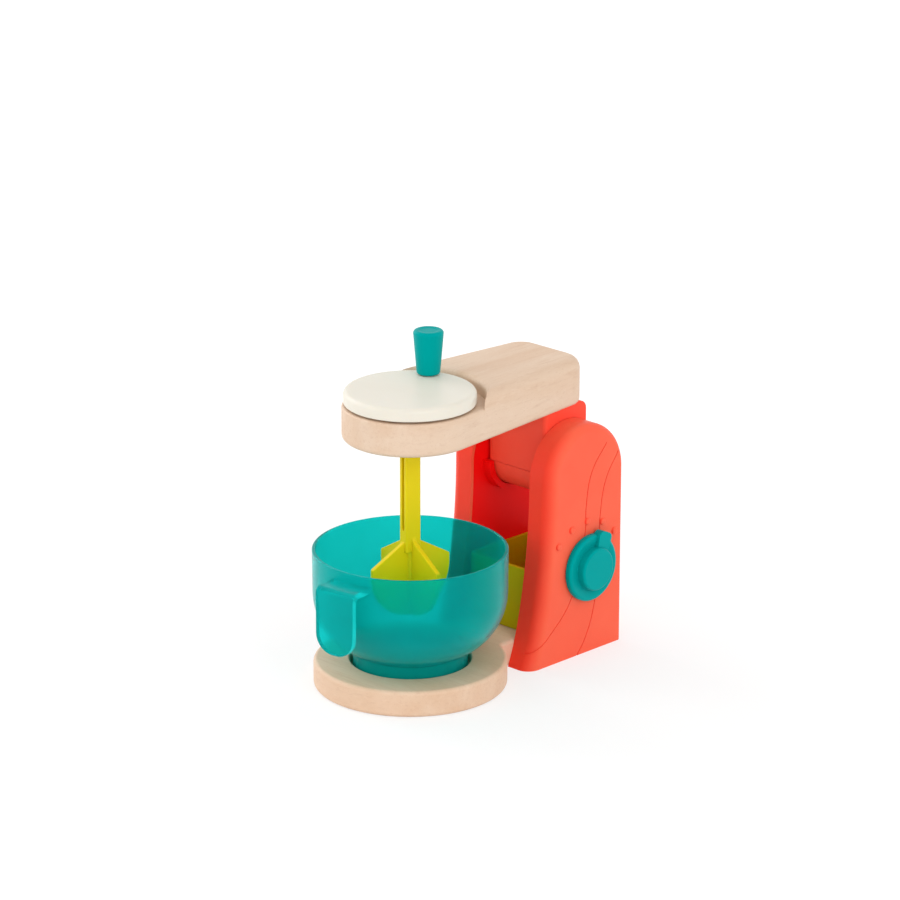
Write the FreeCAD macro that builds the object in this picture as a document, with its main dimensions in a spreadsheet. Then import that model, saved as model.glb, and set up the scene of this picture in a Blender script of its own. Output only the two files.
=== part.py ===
import FreeCAD, Part
import math
import os

import Sketcher
from FreeCAD import Placement, Rotation, Vector

# A toy stand mixer: a wooden base with two moulded towers, a wooden head that
# tilts between them, a crank on top that turns the beater, and a loose bowl.
# The origin is on the bowl's axis at the base's underside. The front is -Y,
# the dial is on the +X side. Lengths are millimetres and angles degrees.

SIZES = {
    # base plate, its neck and the well that the bowl stands in
    "base_radius": 58.0,
    "base_thickness": 16.2,
    "base_rounding": 2.5,
    "neck_fillet": 6.0,
    "neck_back": 137.0,
    "well_clearance": 1.9,
    "well_depth": 7.0,
    "well_chamfer": 0.8,
    "wood_fit": 0.1,
    # towers, drawn from the hinge axis
    "pivot_y": 109.0,
    "pivot_z": 113.5,
    "tower_inner": 24.4,
    "tower_width": 17.25,
    "arch_radius": 32.2,
    "front_radius": 400.0,
    "foot_start": 24.0,
    "foot_radius": 146.0,
    "front_rounding": 8.0,
    "rear_rounding": 2.5,
    "tower_wall": 2.4,
    "cavity_rounding": 4.5,
    "cavity_rear_rounding": 0.9,
    "groove_width": 0.9,
    "groove_depth": 0.5,
    # inner covers with the hinge bearing and the guard ring
    "cover_thickness": 2.2,
    "cover_fit": 0.12,
    "boss_radius": 7.0,
    "boss_length": 4.0,
    "guard_inner": 18.6,
    "guard_outer": 22.3,
    "guard_reach": 6.4,
    # screw posts in the towers, measured from the hinge axis and the floor
    "post_radius": 3.5,
    "post_span_front": 25.0,
    "post_span_rear": 21.0,
    "post_low": 40.0,
    "post_rear": 25.0,
    "post_rear_drop": 21.5,
    "post_top_rise": 24.5,
    # storage box between the towers
    "box_fit": 0.2,
    "box_front": 76.0,
    "box_top": 57.0,
    "box_wall": 2.2,
    "box_floor": 2.5,
    "box_corner": 3.0,
    "box_rim_rounding": 0.66,
    "box_foot_rounding": 0.88,
    "box_screw_reach": 18.0,
    # dial and the dots round it
    "dial_y": 111.0,
    "dial_z": 55.3,
    "dial_gap": 0.25,
    "dial_radius": 21.0,
    "dial_flange": 4.0,
    "dial_edge": 2.0,
    "dial_dish": 0.9,
    "cap_radius": 13.4,
    "cap_height": 5.0,
    "cap_edge": 1.9,
    "pointer_width": 11.0,
    "pointer_reach": 2.0,
    "pointer_height": 1.9,
    "pointer_corner": 4.4,
    "pointer_angle": 67.0,
    "stem_radius": 4.0,
    "stem_clearance": 0.2,
    "stem_flat": 2.6,
    "dot_radius": 2.0,
    "dot_height": 0.8,
    "dot_orbit": 31.0,
    "dot_first": 41.0,
    "dot_step": 26.0,
    "dial_washer_radius": 7.0,
    "dial_washer_thickness": 0.5,
    "wheel_radius": 8.0,
    "wheel_thickness": 3.0,
    "notch_radius": 1.2,
    "spring_thickness": 0.5,
    "spring_width": 2.6,
    "spring_length": 20.0,
    "spring_gap": 0.85,
    "spring_bump": 0.7,
    # hinge: block, cap, axle and what stops and keeps it
    "side_gap": 0.6,
    "barrel_radius": 18.0,
    "block_rounding": 3.0,
    "block_back_rounding": 2.4,
    "block_rear_rounding": 6.0,
    "seam_gap": 0.25,
    "axle_radius": 3.0,
    "axle_fit": 0.03,
    "bearing_clearance": 0.06,
    "axle_reach": 37.4,
    "axle_chamfer": 0.5,
    "clip_radius": 5.5,
    "clip_thickness": 0.8,
    "clip_gap": 0.3,
    "washer_radius": 9.0,
    "washer_thickness": 0.5,
    "stop_pin_radius": 1.25,
    "stop_pin_half": 8.5,
    "stop_pin_chamfer": 0.3,
    "stop_pin_place": 34.4,
    "stop_pin_angle": 124.0,
    "stop_post_radius": 2.0,
    "stop_post_orbit": 7.0,
    "stop_gap": 0.3,
    "tilt_range": 68.0,
    # wooden head arm
    "arm_bottom": 154.3,
    "arm_step": 174.8,
    "arm_top": 183.4,
    "arm_front_radius": 40.3,
    "arm_taper": 6.0,
    "arm_back": 121.8,
    "arm_corner": 16.0,
    "arm_top_rounding": 7.3,
    "arm_bottom_rounding": 3.0,
    "arm_step_rounding": 1.5,
    "arm_scoop_gap": 5.4,
    "arm_scoop_rounding": 3.5,
    # crank: disc, spindle, bushes and washer
    "disc_radius": 39.3,
    "disc_lift": 1.2,
    "disc_thickness": 8.0,
    "disc_top_rounding": 3.0,
    "disc_bottom_rounding": 1.0,
    "spindle_radius": 6.0,
    "spindle_drop": 1.4,
    "spindle_flange": 15.0,
    "spindle_flange_thickness": 2.5,
    "spindle_clearance": 0.06,
    "recess_clearance": 0.1,
    "bush_radius": 8.0,
    "bush_fit": 0.05,
    "bush_flange": 11.0,
    "bush_flange_thickness": 1.2,
    "bush_length": 9.0,
    "thrust_gap": 0.05,
    "spindle_screw_orbit": 10.5,
    # knob and its pin
    "knob_orbit": 31.2,
    "crank_angle": 114.4,
    "knob_lift": 0.4,
    "knob_length": 27.0,
    "knob_bottom_radius": 7.0,
    "knob_top_radius": 9.25,
    "knob_bottom_rounding": 1.6,
    "knob_top_rounding": 1.9,
    "knob_dish": 0.5,
    "knob_pin_radius": 2.5,
    "knob_clearance": 0.08,
    "knob_bore_length": 15.6,
    "knob_chamber": 4.0,
    "knob_chamber_length": 6.0,
    "pin_head_radius": 3.5,
    "pin_head_height": 3.2,
    "pin_depth": 7.0,
    # beater
    "blade_angle": -9.1,
    "blade_radius": 28.0,
    "blade_centre": 72.0,
    "blade_shoulder": 77.0,
    "blade_slope": 29.5,
    "blade_flare": 5.0,
    "blade_thickness": 3.0,
    "blade_rounding": 1.6,
    "shaft_width": 10.6,
    "shaft_depth": 7.2,
    "shaft_foot": 84.0,
    "shaft_groove": 2.6,
    "shaft_groove_depth": 3.0,
    "shaft_groove_end": 97.0,
    "hub_radius": 3.4,
    "hub_bottom": 52.0,
    "joint_gap": 0.1,
    "tenon_width": 7.0,
    "tenon_length": 15.0,
    "tenon_clearance": 0.08,
    # bowl, its foot and its handle
    "bowl_overhang": 0.4,
    "bowl_flare": 0.2,
    "bowl_top": 85.6,
    "bowl_turn": 59.3,
    "bowl_curve": 40.5,
    "bowl_wall": 2.0,
    "bowl_rim_rounding": 0.9,
    "foot_radius_bowl": 34.4,
    "bowl_seat_gap": 0.1,
    "handle_angle": 8.16,
    "handle_out": 16.1,
    "handle_width": 27.0,
    "handle_thickness": 4.0,
    "handle_top": 80.0,
    "handle_bottom": 39.7,
    "handle_bend": 4.0,
    "handle_inner_bend": 1.6,
    "handle_corner": 12.0,
    # fasteners
    "screw_radius": 1.5,
    "screw_hole": 1.7,
    "screw_grip": 0.05,
    "screw_head_radius": 2.8,
    "screw_head_height": 1.9,
    "screw_point": 1.5,
    "head_clearance": 0.3,
    "flat_head_depth": 1.3,
    "flat_head_clearance": 0.08,
    "tower_screw_length": 10.0,
    "neck_screw_length": 11.0,
    "neck_screw_height": 8.0,
    "neck_screw_front": 24.0,
    "neck_screw_rear": 20.0,
    "box_screw_length": 12.0,
    "arm_screw_length": 22.0,
    "arm_screw_sink": 8.5,
    "arm_screw_side": 9.5,
    "arm_screw_span": 7.5,
    "cap_screw_length": 14.0,
    "cap_screw_cover": 7.5,
    "cap_screw_side": 18.5,
    "cap_screw_span": 6.5,
    "spindle_screw_length": 5.4,
    "spindle_screw_radius": 1.2,
    "beater_screw_length": 22.0,
    "dial_screw_length": 7.0,
}

# Grooves on the outer face of each tower: offsets (y, z) from the hinge axis,
# from the dial's axis and from the toe of the tower.
GROOVES = {
    "front_groove": (("pivot", 17.3, 17.6), ("pivot", 4.3, 1.7), ("pivot", -0.5, -19.0),
                     ("dial", -3.2, 22.4), ("dial", -15.4, -17.8), ("toe", 18.3, 19.4),
                     ("toe", 2.6, 9.0)),
    "rear_groove": (("pivot", 27.7, 9.8), ("pivot", 16.7, -6.4), ("pivot", 12.0, -28.8),
                    ("dial", 9.6, 21.4), ("dial", 6.1, -23.5), ("toe", 50.5, 10.5),
                    ("toe", 42.0, -0.8)),
}

document = FreeCAD.newDocument("ToyMixer")


def make_sheet():
    """Write every driving size into the spreadsheet under its alias."""
    sheet = document.addObject("Spreadsheet::Sheet", "Sizes")
    for row, (alias, number) in enumerate(SIZES.items(), start=1):
        sheet.set(f"A{row}", alias)
        sheet.set(f"B{row}", str(number))
        sheet.setAlias(f"B{row}", alias)
    document.recompute()
    return sheet


class Size:
    """A number together with the expression that binds it to the spreadsheet."""

    def __init__(self, value, text=None):
        self.value = float(value)
        self.text = text or f"({self.value!r})"

    @staticmethod
    def of(other):
        return other if isinstance(other, Size) else Size(other)

    def joined(self, other, sign, value):
        return Size(value, f"({self.text} {sign} {Size.of(other).text})")

    def __add__(self, other):
        return self.joined(other, "+", self.value + Size.of(other).value)

    def __sub__(self, other):
        return self.joined(other, "-", self.value - Size.of(other).value)

    def __mul__(self, other):
        return self.joined(other, "*", self.value * Size.of(other).value)

    def __truediv__(self, other):
        return self.joined(other, "/", self.value / Size.of(other).value)

    def __radd__(self, other):
        return Size.of(other) + self

    def __rsub__(self, other):
        return Size.of(other) - self

    def __rmul__(self, other):
        return Size.of(other) * self

    def __rtruediv__(self, other):
        return Size.of(other) / self

    def __neg__(self):
        return Size(-self.value, f"(0 - {self.text})")


class Sheet:
    """Gives each alias of the spreadsheet as a Size."""

    def __init__(self, sheet):
        self.sheet = sheet

    def __getattr__(self, alias):
        return Size(self.sheet.get(alias), f"Sizes.{alias}")


def root(size):
    return Size(math.sqrt(size.value), f"sqrt({size.text})")


def sine(angle):
    angle = Size.of(angle)
    return Size(math.sin(math.radians(angle.value)), f"sin({angle.text})")


def cosine(angle):
    angle = Size.of(angle)
    return Size(math.cos(math.radians(angle.value)), f"cos({angle.text})")


def polar(radius, angle):
    return radius * cosine(angle), radius * sine(angle)


s = Sheet(make_sheet())

OUTWARD = Rotation(Vector(1, 1, 1), 120)     # local X, Y, Z lie along world Y, Z, X
UPRIGHT = Rotation()


def bind(item, name, size):
    item.setExpression(name, Size.of(size).text)


def make_body(label, at=None, turn=UPRIGHT):
    """A body whose placement follows the sheet."""
    body = document.addObject("PartDesign::Body", label)
    body.Placement = Placement(Vector(), turn)
    for axis, size in zip("xyz", at or ()):
        bind(body, f"Placement.Base.{axis}", size)
    return body


def origin_feature(body, role):
    return next(item for item in body.Origin.OriginFeatures if item.Role == role)


def make_sketch(body, name, plane="XY_Plane", lift=None):
    """An empty sketch on one of the body's own planes, lifted along its normal."""
    sketch = body.newObject("Sketcher::SketchObject", name)
    sketch.AttachmentSupport = [(origin_feature(body, plane), "")]
    sketch.MapMode = "FlatFace"
    if lift is not None:
        bind(sketch, "AttachmentOffset.Base.z", lift)
    return sketch


def fix_point(sketch, edge, end, point):
    """Tie a sketch point to its two coordinates."""
    for kind, size, axis in zip(("DistanceX", "DistanceY"), point, (-2, -1)):
        if isinstance(size, Size):
            index = sketch.addConstraint(Sketcher.Constraint(kind, -1, 1, edge, end, size.value))
            bind(sketch, f"Constraints[{index}]", size)
        else:
            sketch.addConstraint(Sketcher.Constraint("PointOnObject", edge, end, axis))


def fix_radius(sketch, edge, radius):
    index = sketch.addConstraint(Sketcher.Constraint("Radius", edge, radius.value))
    bind(sketch, f"Constraints[{index}]", radius)


def flat(point):
    """Sketch position of a pair of sizes; a plain 0 means a point on the axis."""
    return Vector(Size.of(point[0]).value, Size.of(point[1]).value, 0)


def bent_edge(start, end, radius, turn):
    """Arc from start to end, turning left (1) or right (-1)."""
    chord = end - start
    middle = (start + end) * 0.5
    left = Vector(-chord.y, chord.x, 0).normalize()
    height = math.sqrt(max(radius ** 2 - chord.Length ** 2 / 4, 0.0))
    centre = middle + left * (height * turn)
    return Part.Arc(start, centre - left * (radius * turn), end)


def near_end(sketch, edge, point):
    gaps = {end: sketch.getPoint(edge, end).distanceToPoint(point) for end in (1, 2)}
    return min(gaps, key=gaps.get)


def outline(sketch, corners):
    """Closed outline: each corner is (x, y), or (x, y, radius, turn) to reach it by an arc."""
    edges = []
    for before, corner in zip(corners[-1:] + corners[:-1], corners):
        start, end = flat(before), flat(corner)
        if len(corner) == 2:
            edges.append(sketch.addGeometry(Part.LineSegment(start, end), False))
        else:
            edges.append(sketch.addGeometry(bent_edge(start, end, corner[2].value, corner[3]), False))
    for edge, following, corner in zip(edges, edges[1:] + edges[:1], corners):
        point = flat(corner)
        here, there = near_end(sketch, edge, point), near_end(sketch, following, point)
        sketch.addConstraint(Sketcher.Constraint("Coincident", edge, here, following, there))
        fix_point(sketch, edge, here, corner[:2])
        if len(corner) > 2:
            fix_radius(sketch, edge, corner[2])


def circle(sketch, centre, radius):
    edge = sketch.addGeometry(Part.Circle(flat(centre), Vector(0, 0, 1), radius.value), False)
    fix_point(sketch, edge, 3, centre)
    fix_radius(sketch, edge, radius)


def rectangle(sketch, low, high):
    outline(sketch, [low, (high[0], low[1]), high, (low[0], high[1])])


def feature(body, kind, name, sketch, **settings):
    """A sketch-based feature; its sizes are bound and other settings set plainly."""
    item = body.newObject(f"PartDesign::{kind}", name)
    item.Profile = sketch
    for setting, value in settings.items():
        if isinstance(value, Size):
            bind(item, setting, value)
        else:
            setattr(item, setting, value)
    sketch.Visibility = False
    body.Tip = item
    return item


def pad(body, name, sketch, length, **settings):
    return feature(body, "Pad", name, sketch, Length=length, **settings)


def pocket(body, name, sketch, length, **settings):
    return feature(body, "Pocket", name, sketch, Length=length, **settings)


def turned(body, name, corners):
    """Revolve a half profile, drawn as (radius, height), about the body's Z axis."""
    sketch = make_sketch(body, f"{name}_profile", "XZ_Plane")
    outline(sketch, corners)
    return feature(body, "Revolution", name, sketch, Angle=360.0,
                   ReferenceAxis=(sketch, ["V_Axis"]))


def grooved(body, name, corners):
    """Cut a half profile, drawn as (radius, height), all round the body's Z axis."""
    sketch = make_sketch(body, f"{name}_profile", "XZ_Plane")
    outline(sketch, corners)
    return feature(body, "Groove", name, sketch, Angle=360.0, ReferenceAxis=(sketch, ["V_Axis"]))


def edges_where(item, test):
    """Names of the edges of a feature that pass a test."""
    document.recompute()
    return [f"Edge{index}" for index, edge in enumerate(item.Shape.Edges, start=1) if test(edge)]


def dress(body, kind, name, base, test, **sizes):
    """A fillet or chamfer on the edges of the last feature that pass a test."""
    names = edges_where(base, test)
    item = body.newObject(f"PartDesign::{kind}", name)
    item.Base = (base, names)
    for setting, size in sizes.items():
        bind(item, setting, size)
    body.Tip = item
    return item


def fillet(body, name, base, radius, test):
    return dress(body, "Fillet", name, base, test, Radius=radius)


def mirrored(body, name, features, plane):
    item = body.newObject("PartDesign::Mirrored", name)
    item.Originals = features
    item.MirrorPlane = (origin_feature(body, plane), [""])
    body.Tip = item
    return item


def repeated(body, name, features, count, angle):
    """Copies of features turned about the body's Z axis, angle apart."""
    item = body.newObject("PartDesign::PolarPattern", name)
    item.Originals = features
    item.Axis = (origin_feature(body, "Z_Axis"), [""])
    item.Mode = "Spacing"
    item.Occurrences = count
    bind(item, "Offset", angle)
    body.Tip = item
    return item


def same(value, size, slack=1e-4):
    return abs(value - Size.of(size).value) < slack


def at_height(edge, size):
    """True for an edge that lies in a level plane."""
    box = edge.BoundBox
    return same(box.ZMin, size) and same(box.ZMax, size)


def upright_at(edge, x=None, y=None):
    """True for an upright straight edge at the given distance from the middle planes."""
    box = edge.BoundBox
    if box.XLength + box.YLength > 1e-4 or box.ZLength < 1e-4:
        return False
    return (x is None or same(abs(box.XMin), x)) and (y is None or same(box.YMin, y))


def end_rim(edge):
    """True for the rim at either end of a plain rod."""
    return edge.Closed and same(edge.Length, 2 * math.pi * edge.Curve.Radius)


def boolean(kind, label, base, tool):
    item = document.addObject(f"Part::{kind}", label)
    item.Base = base
    item.Tool = tool
    return item


def joined(label, shapes):
    item = document.addObject("Part::MultiFuse", label)
    item.Shapes = shapes
    return item


def mirror_copy(label, source):
    """The left-hand copy of a right-hand piece."""
    item = document.addObject("Part::Mirroring", label)
    item.Source = source
    item.Normal = Vector(1, 0, 0)
    return item


def rod(label, radius, start, length, across):
    """A cylinder along +X from start, centred on across = (y, z)."""
    item = document.addObject("Part::Cylinder", label)
    bind(item, "Radius", radius)
    bind(item, "Height", length)
    item.Placement = Placement(Vector(), Rotation(Vector(0, 1, 0), 90))
    for axis, size in zip("xyz", (start, *across)):
        bind(item, f"Placement.Base.{axis}", size)
    return item


# Planes and places that several pieces share
tower_outer = s.tower_inner + s.tower_width
cover_back = s.tower_inner + s.cover_thickness
shell_inside = tower_outer - s.tower_wall
boss_end = cover_back + s.boss_length
block_half = s.tower_inner - s.side_gap
well_floor = s.base_thickness - s.well_depth
well_radius = s.foot_radius_bowl + s.well_clearance
bowl_rim = s.base_radius + s.bowl_overhang
bowl_waist = bowl_rim - s.bowl_flare
disc_bottom = s.arm_step + s.disc_lift
disc_top = disc_bottom + s.disc_thickness
disc_recess = s.spindle_flange_thickness + s.recess_clearance
spindle_bottom = s.arm_bottom - s.spindle_drop
spindle_top = disc_bottom + s.spindle_flange_thickness
beater_top = spindle_bottom - s.joint_gap
block_front = s.pivot_y - s.barrel_radius
block_back = s.pivot_y + s.barrel_radius
pilot_radius = s.screw_radius + s.screw_grip
head_hole = s.screw_head_radius + s.head_clearance
post_places = ((s.pivot_y - s.post_span_front, s.post_low),
               (s.pivot_y + s.post_span_rear, s.post_low),
               (s.pivot_y + s.post_rear, s.pivot_z - s.post_rear_drop),
               (s.pivot_y, s.pivot_z + s.post_top_rise))
neck_places = ((s.pivot_y - s.neck_screw_front, s.neck_screw_height),
               (s.pivot_y + s.neck_screw_rear, s.neck_screw_height))
box_middle = (s.box_front + s.neck_back) / 2
box_places = ((0, box_middle - s.box_screw_reach), (0, box_middle + s.box_screw_reach))
arm_screw_places = [(side * s.arm_screw_side, s.pivot_y + end * s.arm_screw_span)
                    for side in (1, -1) for end in (-1, 1)]
cap_screw_places = [(side * s.cap_screw_side, s.pivot_y + end * s.cap_screw_span)
                    for side in (1, -1) for end in (-1, 1)]
knob_place = polar(s.knob_orbit, s.crank_angle)
spindle_screw_angles = [s.crank_angle + 60 + 120 * turn for turn in range(3)]


def toe_place():
    """Foot of the front sweep on the floor, as (y, z)."""
    lean = (s.pivot_z - s.foot_start) / s.front_radius
    upright = root(1 - lean * lean)
    centre_y = (s.pivot_y - s.arch_radius - s.front_radius
                + (s.front_radius - s.foot_radius) * upright)
    centre_z = s.pivot_z - (s.front_radius - s.foot_radius) * lean
    return centre_y, centre_z


def tower_outline(sketch, inset, floor):
    """Side profile of a tower as (y, z), moved inwards by inset and down to z = floor."""
    arch = s.arch_radius - inset
    front = s.front_radius + inset
    foot = s.foot_radius + inset
    lean = (s.pivot_z - s.foot_start) / s.front_radius
    sweep_y = s.pivot_y - s.arch_radius - s.front_radius
    foot_y, foot_z = toe_place()
    drop = foot_z - floor
    back = s.pivot_y + arch
    outline(sketch, [
        (s.pivot_y - arch, s.pivot_z, arch, 1),
        (sweep_y + front * root(1 - lean * lean), s.pivot_z - front * lean, front, -1),
        (foot_y + root(foot * foot - drop * drop), floor, foot, -1),
        (back, floor),
        (back, s.pivot_z),
        (s.pivot_y, s.pivot_z + arch, arch, 1),
    ])


def tower_block(label, inset, floor, start, end):
    """A plain slab with the tower's outline between two planes x = start and x = end."""
    body = make_body(label)
    sketch = make_sketch(body, f"{label}_outline", "YZ_Plane", start)
    tower_outline(sketch, inset, floor)
    pad(body, f"{label}_slab", sketch, end - start)
    return body


def soften_tower(label, block, outer, large, small):
    """Round a tower slab from floor to floor: large in front, easing to small behind."""
    document.recompute()

    def radius_at(point):
        if same(point.y, s.pivot_y):
            return (large.value + small.value) / 2
        return large.value if point.y < s.pivot_y.value else small.value

    item = document.addObject("Part::Fillet", label)
    item.Base = block
    softened = []
    for index, edge in enumerate(block.Shape.Edges, start=1):
        box = edge.BoundBox
        if same(box.XMin, outer) and same(box.XMax, outer) and box.ZLength > 1e-4:
            ends = [vertex.Point for vertex in edge.Vertexes]
            softened.append((index, radius_at(ends[0]), radius_at(ends[-1])))
    item.Edges = softened
    return item


def groove_bands():
    """Square-section bands that follow the two grooves through the tower's outer skin."""
    foot_y, foot_z = toe_place()
    toe_y = foot_y.value + math.sqrt(s.foot_radius.value ** 2 - foot_z.value ** 2)
    marks = {"pivot": (s.pivot_y.value, s.pivot_z.value), "dial": (s.dial_y.value, s.dial_z.value),
             "toe": (toe_y, 0.0)}
    half = s.groove_width.value / 2
    inner = tower_outer.value - s.front_rounding.value
    reach = Vector(s.front_rounding.value + s.groove_width.value, 0, 0)
    bands = []
    for points in GROOVES.values():
        path = Part.BSplineCurve()
        path.interpolate([Vector(inner, marks[mark][0] + y, marks[mark][1] + z)
                          for mark, y, z in points])
        first, last = path.FirstParameter, path.LastParameter
        stations = [first + (last - first) * step / 12 for step in range(13)]
        sides = []
        for way in (half, -half):
            side = Part.BSplineCurve()
            side.interpolate([path.value(station)
                              + path.tangent(station)[0].cross(Vector(1, 0, 0)) * way
                              for station in stations])
            sides.append(side)
        ends = [Part.LineSegment(sides[0].value(sides[0].FirstParameter),
                                 sides[1].value(sides[1].FirstParameter)),
                Part.LineSegment(sides[0].value(sides[0].LastParameter),
                                 sides[1].value(sides[1].LastParameter))]
        loop = Part.Wire(Part.__sortEdges__([piece.toShape() for piece in sides + ends]))
        bands.append(Part.Face(loop).extrude(reach))
    item = document.addObject("Part::Feature", "groove_bands")
    item.Shape = Part.makeCompound(bands)
    return item


def make_towers():
    """Right and left tower shells, open towards the middle."""
    block = tower_block("tower_block", 0, 0, s.tower_inner, tower_outer)
    outside = soften_tower("tower_outside", block, tower_outer, s.front_rounding,
                           s.rear_rounding)
    skin_depth = tower_outer - s.groove_depth
    skin = tower_block("groove_floor_block", s.groove_depth, -s.groove_depth,
                       s.tower_inner, skin_depth)
    floor = soften_tower("groove_floor", skin, skin_depth, s.front_rounding - s.groove_depth,
                         s.rear_rounding - s.groove_depth)
    grooves = boolean("Cut", "groove_cutter", groove_bands(), floor)
    grooved_outside = boolean("Cut", "grooved_tower", outside, grooves)

    hollow = tower_block("cavity_block", s.tower_wall, s.tower_wall,
                         s.tower_inner - s.tower_wall, shell_inside)
    cavity = soften_tower("tower_cavity", hollow, shell_inside, s.cavity_rounding,
                          s.cavity_rear_rounding)
    shell = boolean("Cut", "hollow_tower", grooved_outside, cavity)

    post_length = shell_inside + s.tower_wall / 2 - cover_back
    posts = [rod(f"screw_post_{index}", s.post_radius, cover_back, post_length, place)
             for index, place in enumerate(post_places)]
    pilots = [rod(f"screw_pilot_{index}", pilot_radius, s.tower_inner,
                  s.tower_screw_length + s.cover_thickness, place)
              for index, place in enumerate(post_places)]
    posted = joined("posted_tower", [shell, *posts])
    plain = boolean("Cut", "plain_tower", posted, joined("post_pilots", pilots))

    mirror_copy("left_tower_shell", plain)
    make_dial_side(plain, cavity)


def dial_pair(radius, angle):
    """World (y, z) of a point on a circle about the dial's axis."""
    y, z = polar(radius, angle)
    return s.dial_y + y, s.dial_z + z


def make_dial_side(plain, cavity):
    """The right tower also has the dots, the dial's hole, stop posts and a spring post."""
    dome = (s.dot_radius * s.dot_radius + s.dot_height * s.dot_height) / (2 * s.dot_height)
    dots = []
    for count in range(5):
        dot = document.addObject("Part::Sphere", f"dot_{count}")
        bind(dot, "Radius", dome)
        place = dial_pair(s.dot_orbit, s.dot_first + count * s.dot_step)
        for axis, size in zip("xyz", (tower_outer + s.dot_height - dome, *place)):
            bind(dot, f"Placement.Base.{axis}", size)
        dots.append(dot)
    domes = boolean("Cut", "dot_domes", joined("dot_spheres", dots), cavity)

    stops = []
    swing = stop_post_swing()
    for name, angle in (("rest_stop", s.stop_pin_angle + swing),
                        ("open_stop", s.stop_pin_angle - s.tilt_range - swing)):
        y, z = polar(s.stop_post_orbit, angle)
        start = s.stop_pin_place - s.stop_pin_radius - s.stop_gap
        stops.append(rod(name, s.stop_post_radius, start, shell_inside + s.tower_wall / 2 - start,
                         (s.pivot_y + y, s.pivot_z + z)))
    spring_post = make_spring_post()
    whole = joined("dial_tower", [plain, domes, spring_post, *stops])
    hole = rod("stem_hole", s.stem_radius + s.stem_clearance, shell_inside - s.tower_wall,
               s.tower_wall * 3, (s.dial_y, s.dial_z))
    boolean("Cut", "right_tower_shell", whole, hole)


def stop_post_swing():
    """Angle between the stop pin and a post that it rests on, seen from the axle."""
    reach = (s.stop_pin_radius + s.stop_post_radius + s.stop_gap) / s.stop_post_orbit
    return Size(math.degrees(math.asin(reach.value)), f"(asin({reach.text}) / (1 deg))")


def spring_places():
    """The click spring's run: outer radius of the notched wheel plus its gap."""
    return s.wheel_radius + s.spring_gap, s.spring_length / 2


def make_spring_post():
    """A square post on the shell that holds the click spring below the wheel."""
    below, reach = spring_places()
    block = document.addObject("Part::Box", "spring_post")
    bind(block, "Length", shell_inside + s.tower_wall / 2 - wheel_start())
    bind(block, "Width", s.post_radius)
    bind(block, "Height", s.post_radius)
    for axis, size in zip("xyz", (wheel_start(), s.dial_y + reach - s.post_radius,
                                  s.dial_z - below - s.spring_thickness - s.post_radius)):
        bind(block, f"Placement.Base.{axis}", size)
    return block


def wheel_end():
    return shell_inside - s.dial_washer_thickness - 2 * s.thrust_gap


def wheel_start():
    return wheel_end() - s.wheel_thickness


def make_cover():
    """Inner cover of the right tower, with the bearing boss and the guard ring."""
    cover_inset = s.tower_wall + s.cover_fit
    body = tower_block("right_tower_cover", cover_inset, cover_inset, s.tower_inner, cover_back)
    pivot = (s.pivot_y, s.pivot_z)
    boss = make_sketch(body, "boss_sketch", "YZ_Plane", s.tower_inner)
    circle(boss, pivot, s.boss_radius)
    pad(body, "boss", boss, s.cover_thickness + s.boss_length)

    guard = make_sketch(body, "guard_sketch", "YZ_Plane", s.tower_inner - s.guard_reach)
    outline(guard, [
        (s.pivot_y - s.guard_outer, s.pivot_z),
        (s.pivot_y, s.pivot_z - s.guard_outer, s.guard_outer, 1),
        (s.pivot_y, s.pivot_z - s.guard_inner),
        (s.pivot_y - s.guard_inner, s.pivot_z, s.guard_inner, -1),
    ])
    pad(body, "guard_ring", guard, s.guard_reach + s.cover_thickness / 2)

    bore = make_sketch(body, "bore_sketch", "YZ_Plane", s.tower_inner - s.guard_reach)
    circle(bore, pivot, s.axle_radius + s.bearing_clearance)
    pocket(body, "axle_bore", bore, s.guard_reach + s.cover_thickness + s.boss_length,
           Reversed=True)
    holes = make_sketch(body, "screw_hole_sketch", "YZ_Plane", s.tower_inner)
    for place in (*post_places, *neck_places):
        circle(holes, place, s.screw_hole)
    last = pocket(body, "screw_holes", holes, s.cover_thickness, Reversed=True)
    rim = 2 * math.pi * s.screw_hole.value

    def flat_head_rim(edge):
        """The tower screws' holes on the side of the hinge; the neck's screws sit behind."""
        box = edge.BoundBox
        return (same(edge.Length, rim, 1e-3) and same(box.XMax, s.tower_inner)
                and same(box.XMin, s.tower_inner) and box.ZMin > s.neck_screw_height.value * 2)

    dress(body, "Chamfer", "flat_head_sinks", last, flat_head_rim, Size=s.flat_head_depth)
    mirror_copy("left_tower_cover", body)


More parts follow.
